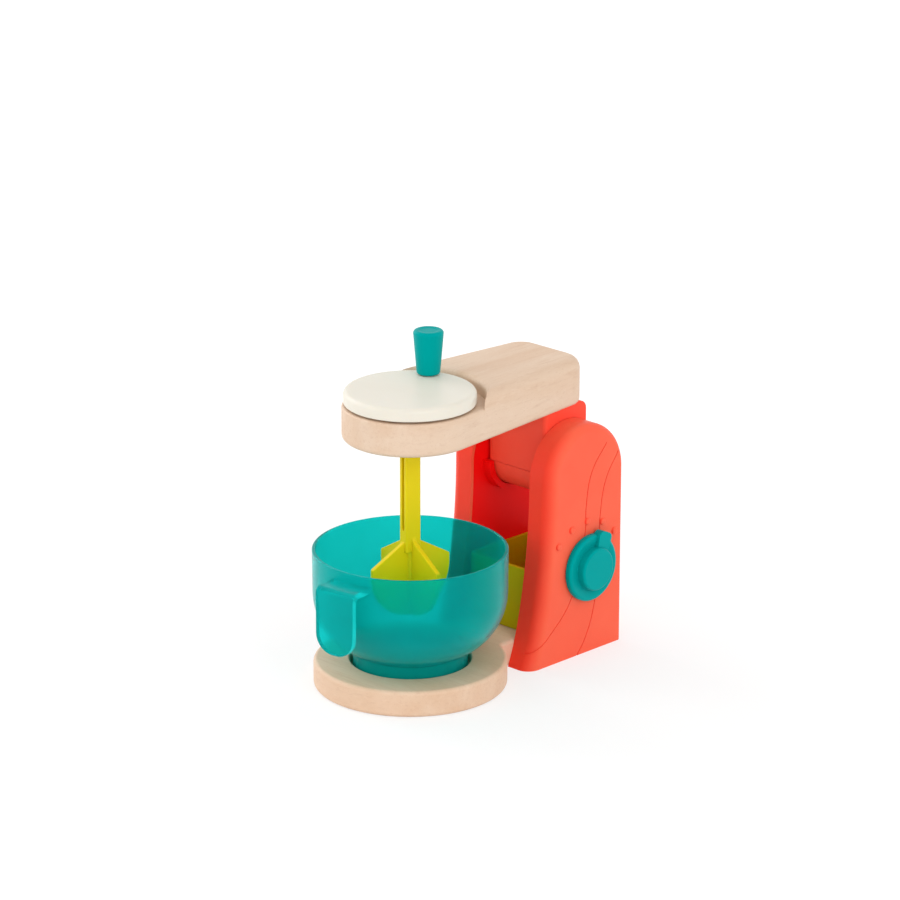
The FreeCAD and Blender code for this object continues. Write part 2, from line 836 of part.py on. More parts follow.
def make_base():
    """Wooden plate with its neck between the towers and the bowl's well."""
    body = make_body("wood_base")
    plate = make_sketch(body, "plate_sketch")
    circle(plate, (0, 0), s.base_radius)
    pad(body, "plate", plate, s.base_thickness)

    side = s.tower_inner - s.wood_fit
    reach = s.base_radius + s.neck_fillet
    fillet_y = root(reach * reach - (side + s.neck_fillet) * (side + s.neck_fillet))
    share = s.base_radius / reach
    touch_x, touch_y = (side + s.neck_fillet) * share, fillet_y * share
    neck = make_sketch(body, "neck_sketch")
    outline(neck, [
        (touch_x, touch_y),
        (side, fillet_y, s.neck_fillet, -1),
        (side, s.neck_back),
        (-side, s.neck_back),
        (-side, fillet_y),
        (-touch_x, touch_y, s.neck_fillet, -1),
    ])
    last = pad(body, "neck", neck, s.base_thickness)
    fillet(body, "edge_rounding", last, s.base_rounding,
           lambda edge: at_height(edge, 0) or at_height(edge, s.base_thickness))

    well = make_sketch(body, "well_sketch", lift=s.base_thickness)
    circle(well, (0, 0), well_radius)
    last = pocket(body, "well", well, s.well_depth)
    dress(body, "Chamfer", "well_rim", last,
          lambda edge: at_height(edge, s.base_thickness)
          and same(edge.BoundBox.XMax, well_radius)
          and same(edge.BoundBox.YMax, well_radius), Size=s.well_chamfer)

    box_pilots = make_sketch(body, "box_pilot_sketch", lift=s.base_thickness)
    for place in box_places:
        circle(box_pilots, place, pilot_radius)
    pocket(body, "box_pilots", box_pilots, s.box_screw_length)

    drill = make_sketch(body, "neck_pilot_sketch", "YZ_Plane", side)
    for place in neck_places:
        circle(drill, place, pilot_radius)
    pilots = pocket(body, "neck_pilots", drill, s.neck_screw_length)
    mirrored(body, "left_side", [pilots], "YZ_Plane")


def make_box():
    """Open storage box between the towers."""
    body = make_body("storage_box")
    half = s.tower_inner - s.box_fit
    bottom = s.base_thickness + s.thrust_gap
    plan = make_sketch(body, "box_plan", lift=bottom)
    rectangle(plan, (-half, s.box_front), (half, s.neck_back))
    last = pad(body, "box_outside", plan, s.box_top - bottom)
    fillet(body, "box_corners", last, s.box_corner, upright_at)
    inside = make_sketch(body, "box_hollow_plan", lift=s.box_top)
    wall, inner_corner = s.box_wall, s.box_corner - s.box_wall / 2
    low_x, high_x = wall - half, half - wall
    low_y, high_y = s.box_front + wall, s.neck_back - wall
    outline(inside, [
        (high_x - inner_corner, low_y),
        (high_x, low_y + inner_corner, inner_corner, 1),
        (high_x, high_y - inner_corner),
        (high_x - inner_corner, high_y, inner_corner, 1),
        (low_x + inner_corner, high_y),
        (low_x, high_y - inner_corner, inner_corner, 1),
        (low_x, low_y + inner_corner),
        (low_x + inner_corner, low_y, inner_corner, 1),
    ])
    last = pocket(body, "box_hollow", inside, s.box_top - bottom - s.box_floor)
    last = fillet(body, "box_rim", last, s.box_rim_rounding,
                  lambda edge: at_height(edge, s.box_top))
    fillet(body, "box_foot", last, s.box_foot_rounding, lambda edge: at_height(edge, bottom))
    holes = make_sketch(body, "box_screw_holes", lift=bottom + s.box_floor)
    for place in box_places:
        circle(holes, place, s.screw_hole)
    pocket(body, "box_holes", holes, s.box_floor)


def make_dial():
    """Dial with a dished flange, a cap and a wedge pointer, on its stem."""
    body = make_body("dial", (tower_outer + s.dial_gap, s.dial_y, s.dial_z), OUTWARD)
    face = s.dial_flange
    top = face + s.cap_height - s.dial_dish
    edge = s.dial_edge
    stem = tower_outer + s.dial_gap - wheel_start() + s.thrust_gap
    dish_radius = s.dial_radius - 2 * edge
    turned(body, "dial_round", [
        (0, top),
        (0, -stem),
        (s.stem_radius, -stem),
        (s.stem_radius, 0),
        (s.dial_radius - edge / 2, 0),
        (s.dial_radius, edge / 2, edge / 2, 1),
        (s.dial_radius, face - edge),
        (s.dial_radius - edge, face, edge, 1),
        (dish_radius, face - s.dial_dish / 3),
        (s.cap_radius, face - s.dial_dish),
        (s.cap_radius, top - s.cap_edge),
        (s.cap_radius - s.cap_edge, top, s.cap_edge, 1),
    ])
    tip = s.dial_radius + s.pointer_reach
    half = s.pointer_width / 2
    pointer = make_sketch(body, "pointer_sketch", lift=face - s.dial_dish)
    bind(pointer, "AttachmentOffset.Rotation.Angle", s.pointer_angle)
    nose = s.pointer_corner
    outline(pointer, [
        (s.cap_radius / 2, -half),
        (tip - nose, -half),
        (tip, -half + nose, nose, 1),
        (tip, half - nose),
        (tip - nose, half, nose, 1),
        (s.cap_radius / 2, half),
    ])
    pad(body, "pointer", pointer, s.pointer_height + s.dial_dish)

    flat_cut = make_sketch(body, "stem_flat_sketch", lift=-stem)
    rectangle(flat_cut, (s.stem_flat, -s.stem_radius), (s.stem_radius * 2, s.stem_radius))
    pocket(body, "stem_flat_cut", flat_cut, s.wheel_thickness + 2 * s.thrust_gap, Reversed=True)
    drill = make_sketch(body, "dial_pilot_sketch", lift=-stem)
    circle(drill, (0, 0), pilot_radius)
    pocket(body, "dial_pilot", drill, s.dial_screw_length, Reversed=True)


def make_dial_works():
    """Washer, notched wheel and click spring behind the dial, inside the right tower."""
    washer = make_body("dial_washer", (shell_inside - s.dial_washer_thickness - s.thrust_gap,
                                       s.dial_y, s.dial_z), OUTWARD)
    ring = make_sketch(washer, "dial_washer_sketch")
    circle(ring, (0, 0), s.dial_washer_radius)
    circle(ring, (0, 0), s.stem_radius + s.stem_clearance / 2)
    pad(washer, "dial_washer_ring", ring, s.dial_washer_thickness)

    wheel = make_body("click_wheel", (wheel_start(), s.dial_y, s.dial_z), OUTWARD)
    rim = make_sketch(wheel, "wheel_sketch")
    circle(rim, (0, 0), s.wheel_radius)
    pad(wheel, "wheel_round", rim, s.wheel_thickness)
    fit = s.axle_fit
    bore = make_sketch(wheel, "wheel_bore_sketch")
    radius, flat_x = s.stem_radius + fit, s.stem_flat + fit
    flat_y = root(radius * radius - flat_x * flat_x)
    outline(bore, [
        (flat_x, flat_y),
        (0, radius, radius, 1),
        (-radius, 0, radius, 1),
        (0, -radius, radius, 1),
        (flat_x, -flat_y, radius, 1),
    ])
    pocket(wheel, "wheel_bore", bore, s.wheel_thickness, Reversed=True)
    notch = make_sketch(wheel, "notch_sketch")
    first = polar(s.wheel_radius + s.notch_radius / 2, 270 - 3 * s.dot_step)
    circle(notch, first, s.notch_radius)
    cut = pocket(wheel, "notch", notch, s.wheel_thickness, Reversed=True)
    repeated(wheel, "notches", [cut], 5, s.dot_step)

    spring = make_body("click_spring", (wheel_start(), s.dial_y, s.dial_z), OUTWARD)
    below, reach = spring_places()
    strip = make_sketch(spring, "spring_sketch", lift=(s.wheel_thickness - s.spring_width) / 2)
    thick, bump = s.spring_thickness, s.spring_bump
    outline(strip, [
        (reach, -below),
        (bump * 2, -below),
        (bump * 0.5, bump - below),
        (-bump * 0.5, bump - below),
        (-bump * 2, -below),
        (-reach, -below),
        (-reach, -below - thick),
        (-bump * 1.6, -below - thick),
        (-bump * 0.3, bump - below - thick),
        (bump * 0.3, bump - below - thick),
        (bump * 1.6, -below - thick),
        (reach, -below - thick),
    ])
    pad(spring, "spring_strip", strip, s.spring_width)


def make_hinge():
    """Hinge block and cap clamp the axle; the stop pin, clips and washers sit on it."""
    pivot = (s.pivot_y, s.pivot_z)
    length = block_half * 2
    split = s.pivot_z + s.seam_gap / 2
    block = make_body("tilt_block")
    side = make_sketch(block, "block_sketch", "YZ_Plane")
    outline(side, [
        (block_front, split),
        (block_back, split),
        (block_back, s.arm_bottom - s.block_rear_rounding),
        (block_back - s.block_rear_rounding, s.arm_bottom, s.block_rear_rounding, 1),
        (block_front, s.arm_bottom),
    ])
    last = pad(block, "block_slab", side, length, SideType="Symmetric")
    last = fillet(block, "block_front_edges", last, s.block_rounding,
                  lambda edge: upright_at(edge, block_half, block_front))
    fillet(block, "block_back_edges", last, s.block_back_rounding,
           lambda edge: upright_at(edge, block_half, block_back))
    bore = make_sketch(block, "block_bore_sketch", "YZ_Plane")
    circle(bore, pivot, s.axle_radius + s.axle_fit)
    pocket(block, "block_bore", bore, length * 2, SideType="Symmetric")
    drill_up(block, "block_screw", arm_screw_places, split, s.screw_hole, s.arm_bottom - split)
    drill_up(block, "block_sink", arm_screw_places, split, head_hole,
             s.arm_bottom - s.arm_screw_sink - split)
    drill_up(block, "cap_pilot", cap_screw_places, split, pilot_radius, s.cap_screw_length)

    cap = make_body("hinge_cap")
    side = make_sketch(cap, "cap_sketch", "YZ_Plane")
    ledge = s.seam_gap / 2
    low = s.pivot_z - ledge
    half_chord = root(s.barrel_radius * s.barrel_radius - ledge * ledge)
    outline(side, [
        (s.pivot_y - half_chord, low),
        (s.pivot_y, s.pivot_z - s.barrel_radius, s.barrel_radius, 1),
        (s.pivot_y + half_chord, low, s.barrel_radius, 1),
    ])
    pad(cap, "cap_slab", side, length, SideType="Symmetric")
    bore = make_sketch(cap, "cap_bore_sketch", "YZ_Plane")
    circle(bore, pivot, s.axle_radius + s.axle_fit)
    pocket(cap, "cap_bore", bore, length * 2, SideType="Symmetric")
    seat = s.pivot_z - s.cap_screw_cover
    under = s.pivot_z - s.barrel_radius * 2
    drill_up(cap, "cap_screw_hole", cap_screw_places, under, s.screw_hole, s.barrel_radius * 3)
    drill_up(cap, "cap_sink", cap_screw_places, under, head_hole, seat - under)

    axle = make_body("hinge_axle", (0, *pivot), OUTWARD)
    rod_sketch = make_sketch(axle, "axle_sketch")
    circle(rod_sketch, (0, 0), s.axle_radius)
    last = pad(axle, "axle_rod", rod_sketch, s.axle_reach * 2, SideType="Symmetric")
    dress(axle, "Chamfer", "axle_ends", last, end_rim, Size=s.axle_chamfer)
    cross = make_sketch(axle, "pin_hole_sketch", "XZ_Plane")
    cross.AttachmentOffset = Placement(Vector(), Rotation(Vector(0, 1, 0), 0))
    bind(cross, "AttachmentOffset.Rotation.Angle", s.stop_pin_angle - 90)
    circle(cross, (0, s.stop_pin_place), s.stop_pin_radius + s.axle_fit)
    pocket(axle, "pin_hole", cross, s.axle_radius * 3, SideType="Symmetric")


def drill_up(body, name, places, start, radius, depth):
    """Upright holes from the plane z = start."""
    sketch = make_sketch(body, f"{name}_sketch", lift=start)
    for place in places:
        circle(sketch, place, radius)
    return pocket(body, name, sketch, depth, Reversed=True)


def grouped(label, shapes):
    """Several equal solids in one node."""
    item = document.addObject("Part::Feature", label)
    item.Shape = Part.makeCompound(shapes)
    return item


def ring_shape(outer, inner, thickness):
    whole = Part.makeCylinder(outer.value, thickness.value)
    return whole.cut(Part.makeCylinder(inner.value, thickness.value))


def both_sides(shape, start, across):
    """Copies of a shape that stands on +Z, moved to x = start and mirrored to the left."""
    right = shape.copy()
    right.Placement = Placement(Vector(start.value, across[0].value, across[1].value), OUTWARD)
    return [right, right.mirror(Vector(), Vector(1, 0, 0))]


def make_hinge_rings():
    pivot = (s.pivot_y, s.pivot_z)
    bore = s.axle_radius + s.axle_fit
    clip = ring_shape(s.clip_radius, bore, s.clip_thickness)
    grouped("axle_clips", both_sides(clip, boss_end + s.clip_gap, pivot))
    washer = ring_shape(s.washer_radius, bore, s.washer_thickness)
    start = block_half + (s.side_gap - s.washer_thickness) / 2
    grouped("hinge_washers", both_sides(washer, start, pivot))

    pin = make_body("stop_pin")
    pin.Placement = Placement(Vector(), Rotation(Vector(1, 0, 0), 0))
    for axis, size in zip("xyz", (s.stop_pin_place, s.pivot_y, s.pivot_z)):
        bind(pin, f"Placement.Base.{axis}", size)
    bind(pin, "Placement.Rotation.Angle", s.stop_pin_angle - 90)
    bar = make_sketch(pin, "stop_pin_sketch")
    circle(bar, (0, 0), s.stop_pin_radius)
    last = pad(pin, "stop_pin_bar", bar, s.stop_pin_half * 2, SideType="Symmetric")
    dress(pin, "Chamfer", "stop_pin_ends", last, end_rim, Size=s.stop_pin_chamfer)


def make_arm():
    """Wooden head arm: round front, tapering sides and a scoop round the crank disc."""
    body = make_body("head_arm")
    front, taper = s.arm_front_radius, s.arm_taper
    touch_x, touch_y = polar(front, taper)
    slope = sine(taper) / cosine(taper)
    corner = s.arm_corner
    back_x = touch_x - (s.arm_back - touch_y) * slope
    # where the corner arc leaves the side and meets the back
    run = corner * (1 - sine(taper)) / cosine(taper)
    leave = (back_x + run * sine(taper), s.arm_back - run * cosine(taper))
    meet_x = back_x - run
    plan = make_sketch(body, "arm_plan", lift=s.arm_bottom)
    outline(plan, [
        (touch_x, touch_y, front, 1),
        leave,
        (meet_x, s.arm_back, corner, 1),
        (-meet_x, s.arm_back),
        (-leave[0], leave[1], corner, 1),
        (-touch_x, touch_y),
        (0, -front, front, 1),
    ])
    last = pad(body, "arm_slab", plan, s.arm_top - s.arm_bottom)
    last = fillet(body, "arm_top_edges", last, s.arm_top_rounding,
                  lambda edge: at_height(edge, s.arm_top))
    fillet(body, "arm_bottom_edges", last, s.arm_bottom_rounding,
           lambda edge: at_height(edge, s.arm_bottom))
    scoop = s.disc_radius + s.arm_scoop_gap
    lip = s.arm_scoop_rounding
    above = s.arm_top + lip
    grooved(body, "scoop", [
        (0, s.arm_step),
        (scoop, s.arm_step),
        (scoop, s.arm_top - lip),
        (scoop + lip, s.arm_top, lip, -1),
        (scoop + lip, above),
        (0, above),
    ])
    fillet(body, "step_edge", body.Tip, s.arm_step_rounding,
           lambda edge: at_height(edge, s.arm_step) and edge.BoundBox.YMin < 0)
    sketch = make_sketch(body, "spindle_bore_sketch", lift=s.arm_bottom)
    circle(sketch, (0, 0), s.bush_radius + s.bush_fit)
    pocket(body, "spindle_bore", sketch, s.arm_step - s.arm_bottom, Reversed=True)
    flange_radius = s.bush_flange + s.recess_clearance
    for name, height, upwards in (("lower_recess", s.arm_bottom, True),
                                  ("upper_recess", s.arm_step, False)):
        sketch = make_sketch(body, f"{name}_sketch", lift=height)
        circle(sketch, (0, 0), flange_radius)
        pocket(body, name, sketch, s.bush_flange_thickness, Reversed=upwards)
    drill_up(body, "arm_pilots", arm_screw_places, s.arm_bottom, pilot_radius,
             s.arm_screw_length - s.arm_screw_sink + s.screw_point)


def make_bushes():
    bore = s.spindle_radius + s.spindle_clearance
    for label, height, way in (("lower_bush", s.arm_bottom, 1), ("upper_bush", s.arm_step, -1)):
        body = make_body(label)
        shoulder = height + way * s.bush_flange_thickness
        end = height + way * (s.bush_flange_thickness + s.bush_length)
        turned(body, f"{label}_round", [
            (bore, height),
            (s.bush_flange, height),
            (s.bush_flange, shoulder),
            (s.bush_radius, shoulder),
            (s.bush_radius, end),
            (bore, end),
        ])


def make_crank():
    """Crank disc, its spindle, the washer under it and the knob's pin."""
    disc = make_body("crank_disc")
    recess = s.spindle_flange + s.recess_clearance
    top_round, low_round = s.disc_top_rounding, s.disc_bottom_rounding
    recess_top = disc_bottom + disc_recess
    turned(disc, "disc_round", [
        (0, recess_top),
        (recess, recess_top),
        (recess, disc_bottom),
        (s.disc_radius - low_round, disc_bottom),
        (s.disc_radius, disc_bottom + low_round, low_round, 1),
        (s.disc_radius, disc_top - top_round),
        (s.disc_radius - top_round, disc_top, top_round, 1),
        (0, disc_top),
    ])
    sketch = make_sketch(disc, "pin_seat_sketch", lift=disc_top)
    circle(sketch, knob_place, s.knob_pin_radius + s.axle_fit)
    pocket(disc, "pin_seat", sketch, s.pin_depth)
    screw_places = [polar(s.spindle_screw_orbit, angle) for angle in spindle_screw_angles]
    drill_up(disc, "disc_pilots", screw_places, disc_bottom,
             s.spindle_screw_radius + s.screw_grip,
             s.spindle_screw_length + 2 * s.flat_head_clearance)

    spindle = make_body("crank_spindle")
    turned(spindle, "spindle_round", [
        (0, spindle_bottom),
        (s.spindle_radius, spindle_bottom),
        (s.spindle_radius, disc_bottom),
        (s.spindle_flange, disc_bottom),
        (s.spindle_flange, spindle_top),
        (0, spindle_top),
    ])
    socket = make_sketch(spindle, "socket_sketch", lift=spindle_bottom)
    half = s.tenon_width / 2 + s.tenon_clearance
    bind(socket, "AttachmentOffset.Rotation.Angle", s.blade_angle)
    rectangle(socket, (-half, -half), (half, half))
    pocket(spindle, "socket", socket, s.tenon_length + 2 * s.tenon_clearance, Reversed=True)
    drill_up(spindle, "beater_screw_hole", [(0, 0)], spindle_bottom, s.screw_hole,
             spindle_top - spindle_bottom)
    sink = make_sketch(spindle, "beater_screw_sink_sketch", lift=spindle_top)
    circle(sink, (0, 0), head_hole)
    pocket(spindle, "beater_screw_sink", sink, s.screw_head_height + s.recess_clearance)
    last = drill_up(spindle, "flange_holes", screw_places, disc_bottom,
                    s.spindle_screw_radius + s.recess_clearance, s.spindle_flange_thickness)
    hole_edge = 2 * math.pi * (s.spindle_screw_radius.value + s.recess_clearance.value)
    dress(spindle, "Chamfer", "flange_sinks", last,
          lambda edge: at_height(edge, disc_bottom) and same(edge.Length, hole_edge),
          Size=s.flat_head_depth)

    washer = make_body("thrust_washer")
    ring = make_sketch(washer, "thrust_washer_sketch", lift=s.arm_step + s.thrust_gap)
    circle(ring, (0, 0), s.spindle_flange)
    circle(ring, (0, 0), s.spindle_radius + s.stem_clearance)
    pad(washer, "thrust_washer_ring", ring, s.disc_lift - 2 * s.thrust_gap)


def make_knob():
    """Tapered knob that turns freely on a pin with a mushroom head."""
    bottom = disc_top + s.knob_lift
    top = bottom + s.knob_length
    low, high = s.knob_bottom_radius, s.knob_top_radius
    low_round, high_round = s.knob_bottom_rounding, s.knob_top_rounding
    slope = (high - low) / (top - bottom - low_round - high_round)
    bore = s.knob_pin_radius + s.knob_clearance
    bore_top = bottom + s.knob_bore_length
    chamber_top = bore_top + s.knob_chamber_length
    knob = make_body("crank_knob", (*knob_place, 0))
    turned(knob, "knob_round", [
        (0, chamber_top),
        (s.knob_chamber, chamber_top),
        (s.knob_chamber, bore_top),
        (bore, bore_top),
        (bore, bottom),
        (low - low_round, bottom),
        (low, bottom + low_round, low_round * (1 + slope), 1),
        (high, top - high_round),
        (high - high_round, top, high_round * (1 + slope), 1),
        (high - 2 * high_round, top - s.knob_dish),
        (0, top - s.knob_dish),
    ])
    pin = make_body("knob_pin", (*knob_place, 0))
    head_low = bore_top + s.knob_lift
    head_top = head_low + s.pin_head_height
    half = s.pin_head_height / 2
    turned(pin, "pin_round", [
        (0, disc_top - s.pin_depth + s.screw_grip),
        (s.knob_pin_radius, disc_top - s.pin_depth + s.screw_grip),
        (s.knob_pin_radius, head_low),
        (s.pin_head_radius, head_low),
        (s.pin_head_radius, head_low + half),
        (s.knob_pin_radius, head_top),
        (0, head_top),
    ])


def make_beater():
    """Beater with four blades, a core between them and a grooved shaft."""
    body = make_body("beater", turn=Rotation(Vector(0, 0, 1), 0))
    bind(body, "Placement.Rotation.Angle", s.blade_angle)
    edge = s.blade_radius
    bottom = s.blade_centre - s.blade_radius
    wide, deep = s.shaft_width / 2, s.shaft_depth / 2
    flare, slope = s.blade_flare, s.blade_slope
    flare_x = deep + flare
    flare_z = (s.blade_shoulder + (edge - flare_x) * sine(slope) / cosine(slope)
               + flare / cosine(slope))
    low_x, low_z = flare_x - flare * sine(slope), flare_z - flare * cosine(slope)
    blade = make_sketch(body, "blade_sketch", "XZ_Plane")
    outline(blade, [
        (edge, s.blade_centre, edge, 1),
        (edge, s.blade_shoulder),
        (low_x, low_z),
        (deep, flare_z, flare, -1),
        (-deep, flare_z),
        (-low_x, low_z, flare, -1),
        (-edge, s.blade_shoulder),
        (-edge, s.blade_centre),
        (0, bottom, edge, 1),
    ])
    flat_blade = pad(body, "blade_pair", blade, s.blade_thickness, SideType="Symmetric")
    fillet(body, "blade_shoulders", flat_blade, s.blade_rounding,
           lambda edge: edge.BoundBox.XLength + edge.BoundBox.ZLength < 1e-4
           and edge.BoundBox.ZMin > s.blade_centre.value + 1)
    cross = body.newObject("PartDesign::PolarPattern", "second_blade_pair")
    cross.TransformMode = "Whole shape"
    cross.Axis = (origin_feature(body, "Z_Axis"), [""])
    cross.Angle = 360.0
    cross.Occurrences = 4
    body.Tip = cross
    core = make_sketch(body, "core_sketch", lift=s.hub_bottom)
    circle(core, (0, 0), s.hub_radius)
    pad(body, "core", core, s.shaft_foot + s.hub_radius - s.hub_bottom)

    shaft = make_sketch(body, "shaft_sketch", lift=s.shaft_foot)
    rectangle(shaft, (-deep, -wide), (deep, wide))
    pad(body, "shaft", shaft, beater_top - s.shaft_foot)
    groove = make_sketch(body, "shaft_groove_sketch", "XZ_Plane", wide)
    half = s.shaft_groove / 2
    outline(groove, [
        (-half, s.shaft_groove_end + half),
        (0, s.shaft_groove_end, half, 1),
        (half, s.shaft_groove_end + half, half, 1),
        (half, beater_top + half),
        (-half, beater_top + half),
    ])
    cut = pocket(body, "shaft_groove", groove, s.shaft_groove_depth)
    mirrored(body, "opposite_groove", [cut], "XZ_Plane")
    tenon = make_sketch(body, "tenon_sketch", lift=beater_top)
    side = s.tenon_width / 2
    rectangle(tenon, (-side, -side), (side, side))
    pad(body, "tenon", tenon, s.joint_gap + s.tenon_length)
    drill = make_sketch(body, "beater_pilot_sketch", lift=beater_top + s.joint_gap + s.tenon_length)
    circle(drill, (0, 0), pilot_radius)
    pocket(body, "beater_pilot", drill, s.beater_screw_length)


def make_bowl():
    """Deep bowl with a foot ring and a hanging handle."""
    body = make_body("bowl", turn=Rotation(Vector(0, 0, 1), 0))
    bind(body, "Placement.Rotation.Angle", s.handle_angle)
    wall = s.bowl_wall
    outer_curve, inner_curve = s.bowl_curve, s.bowl_curve - wall
    axis = bowl_waist - outer_curve
    bottom = s.bowl_turn - outer_curve
    seat = well_floor + s.bowl_seat_gap
    foot, foot_inner = s.foot_radius_bowl, s.foot_radius_bowl - wall

    def curve_height(radius):
        across = radius - axis
        return s.bowl_turn - root(outer_curve * outer_curve - across * across)

    edge = s.bowl_rim_rounding
    turned(body, "bowl_round", [
        (0, bottom),
        (axis, bottom),
        (foot_inner, curve_height(foot_inner), outer_curve, 1),
        (foot_inner, seat),
        (foot, seat),
        (foot, curve_height(foot)),
        (bowl_waist, s.bowl_turn, outer_curve, 1),
        (bowl_rim, s.bowl_top - edge),
        (bowl_rim - edge, s.bowl_top, edge, 1),
        (bowl_rim - wall + edge, s.bowl_top),
        (bowl_rim - wall, s.bowl_top - edge, edge, 1),
        (bowl_waist - wall, s.bowl_turn),
        (axis, bottom + wall, inner_curve, -1),
        (0, bottom + wall),
    ])
    out, thick, bend = bowl_rim + s.handle_out, s.handle_thickness, s.handle_bend
    inner_bend = s.handle_inner_bend
    root_y = bowl_waist - wall / 2
    top, low = s.handle_top, s.handle_bottom
    arm = make_sketch(body, "handle_sketch", "YZ_Plane")
    outline(arm, [
        (-root_y, top),
        (bend - out, top),
        (-out, top - bend, bend, 1),
        (-out, low),
        (thick - out, low),
        (thick - out, top - thick - inner_bend),
        (thick + inner_bend - out, top - thick, inner_bend, -1),
        (-root_y, top - thick),
    ])
    last = pad(body, "handle", arm, s.handle_width, SideType="Symmetric")

    def lower_corner(edge):
        box = edge.BoundBox
        return (box.XLength + box.ZLength < 1e-4 and same(box.ZMin, low)
                and same(abs(box.XMin), s.handle_width / 2))

    fillet(body, "handle_end", last, s.handle_corner, lower_corner)


def screw_shape(length, radius, head_radius, head_height, sunk=0.0):
    """A screw along +Z: its head starts at z = -head_height, or is sunk flush at z = 0."""
    tip = s.screw_point.value
    shank = Part.makeCylinder(radius, length - tip)
    point = Part.makeCone(radius, radius * 0.2, tip, Vector(0, 0, length - tip))
    if sunk:
        head = Part.makeCone(radius + sunk, radius, sunk)
    else:
        head = Part.makeCylinder(head_radius, head_height, Vector(0, 0, -head_height))
    return shank.fuse([point, head]).removeSplitter()


def pan_screw(length):
    return screw_shape(length.value, s.screw_radius.value, s.screw_head_radius.value,
                       s.screw_head_height.value)


def flat_screw(length, radius):
    sunk = s.flat_head_depth.value - s.flat_head_clearance.value
    return screw_shape(length.value, radius.value, 0.0, 0.0, sunk)


def placed(shape, point, way):
    """A copy of a shape with its +Z turned to way and its origin at point."""
    copy = shape.copy()
    copy.Placement = Placement(Vector(*(Size.of(size).value for size in point)),
                               Rotation(Vector(0, 0, 1), Vector(*way)))
    return copy


def make_screws():
    """Each kind of screw is one node with a solid at every place."""
    flat_start = s.tower_inner + s.flat_head_clearance
    tower_screw = flat_screw(s.tower_screw_length, s.screw_radius)
    neck_screw = pan_screw(s.neck_screw_length)
    grouped("tower_screws", [placed(tower_screw, (way * flat_start, *place), (way, 0, 0))
                             for way in (1, -1) for place in post_places])
    grouped("neck_screws", [placed(neck_screw, (way * cover_back, *place), (-way, 0, 0))
                            for way in (1, -1) for place in neck_places])
    box_floor = s.base_thickness + s.thrust_gap + s.box_floor
    grouped("box_screws", [placed(pan_screw(s.box_screw_length), (*place, box_floor), (0, 0, -1))
                           for place in box_places])
    grouped("head_screws", [placed(pan_screw(s.arm_screw_length),
                                   (*place, s.arm_bottom - s.arm_screw_sink), (0, 0, 1))
                            for place in arm_screw_places])
    grouped("cap_screws", [placed(pan_screw(s.cap_screw_length + s.cap_screw_cover / 2),
                                  (*place, s.pivot_z - s.cap_screw_cover), (0, 0, 1))
                           for place in cap_screw_places])
    flange_screw = flat_screw(s.spindle_screw_length, s.spindle_screw_radius)
    grouped("spindle_screws", [placed(flange_screw, (*polar(s.spindle_screw_orbit, angle),
                                                     disc_bottom + s.flat_head_clearance), (0, 0, 1))
                               for angle in spindle_screw_angles])
    grouped("beater_screw", [placed(pan_screw(s.beater_screw_length),
                                    (0, 0, spindle_top - s.screw_head_height - s.recess_clearance),
                                    (0, 0, -1))])
    grouped("dial_screw", [placed(pan_screw(s.dial_screw_length),
                                  (wheel_start() - s.thrust_gap, s.dial_y, s.dial_z), (1, 0, 0))])


NODES = (
    "wood_base", "storage_box", "right_tower_shell", "left_tower_shell", "right_tower_cover",
    "left_tower_cover", "tower_screws", "neck_screws", "box_screws", "click_spring",
    "dial", "dial_washer", "click_wheel", "dial_screw",
    "head_arm", "tilt_block", "hinge_cap", "hinge_axle", "stop_pin", "axle_clips",
    "hinge_washers", "head_screws", "cap_screws", "upper_bush", "lower_bush",
    "crank_disc", "crank_spindle", "spindle_screws", "thrust_washer", "knob_pin",
    "crank_knob", "beater", "beater_screw", "bowl",
)


def check_document():
    """Stop on any failed object or broken shape before anything is written."""
    for item in document.Objects:
        if "Invalid" in item.State or "Error" in item.State:
            raise RuntimeError(f"{item.Name} failed: {item.State}")
    for node in NODES:
        shape = document.getObject(node).Shape
        if shape.isNull() or not shape.isValid():
            raise RuntimeError(f"{node} has no valid shape")


def main():
    make_base()
    make_towers()
    make_cover()
    make_box()
    make_dial()
    make_dial_works()
    make_hinge()
    make_hinge_rings()
    make_arm()
    make_bushes()
    make_crank()
    make_knob()
    make_beater()
    make_bowl()
    make_screws()
    document.recompute()
    check_document()
    os.makedirs("parts", exist_ok=True)
    for node in NODES:
        shape = document.getObject(node).Shape
        shape.exportStep(f"parts/{node}.step")
        box = shape.BoundBox
        print(f"{node}: {len(shape.Solids)} solid(s), {shape.Volume:.1f} mm3, "
              f"x {box.XMin:.1f}..{box.XMax:.1f} y {box.YMin:.1f}..{box.YMax:.1f} "
              f"z {box.ZMin:.1f}..{box.ZMax:.1f}")


main()
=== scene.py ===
import math

import bmesh
import bpy
from mathutils import Matrix, Vector
from mathutils.bvhtree import BVHTree


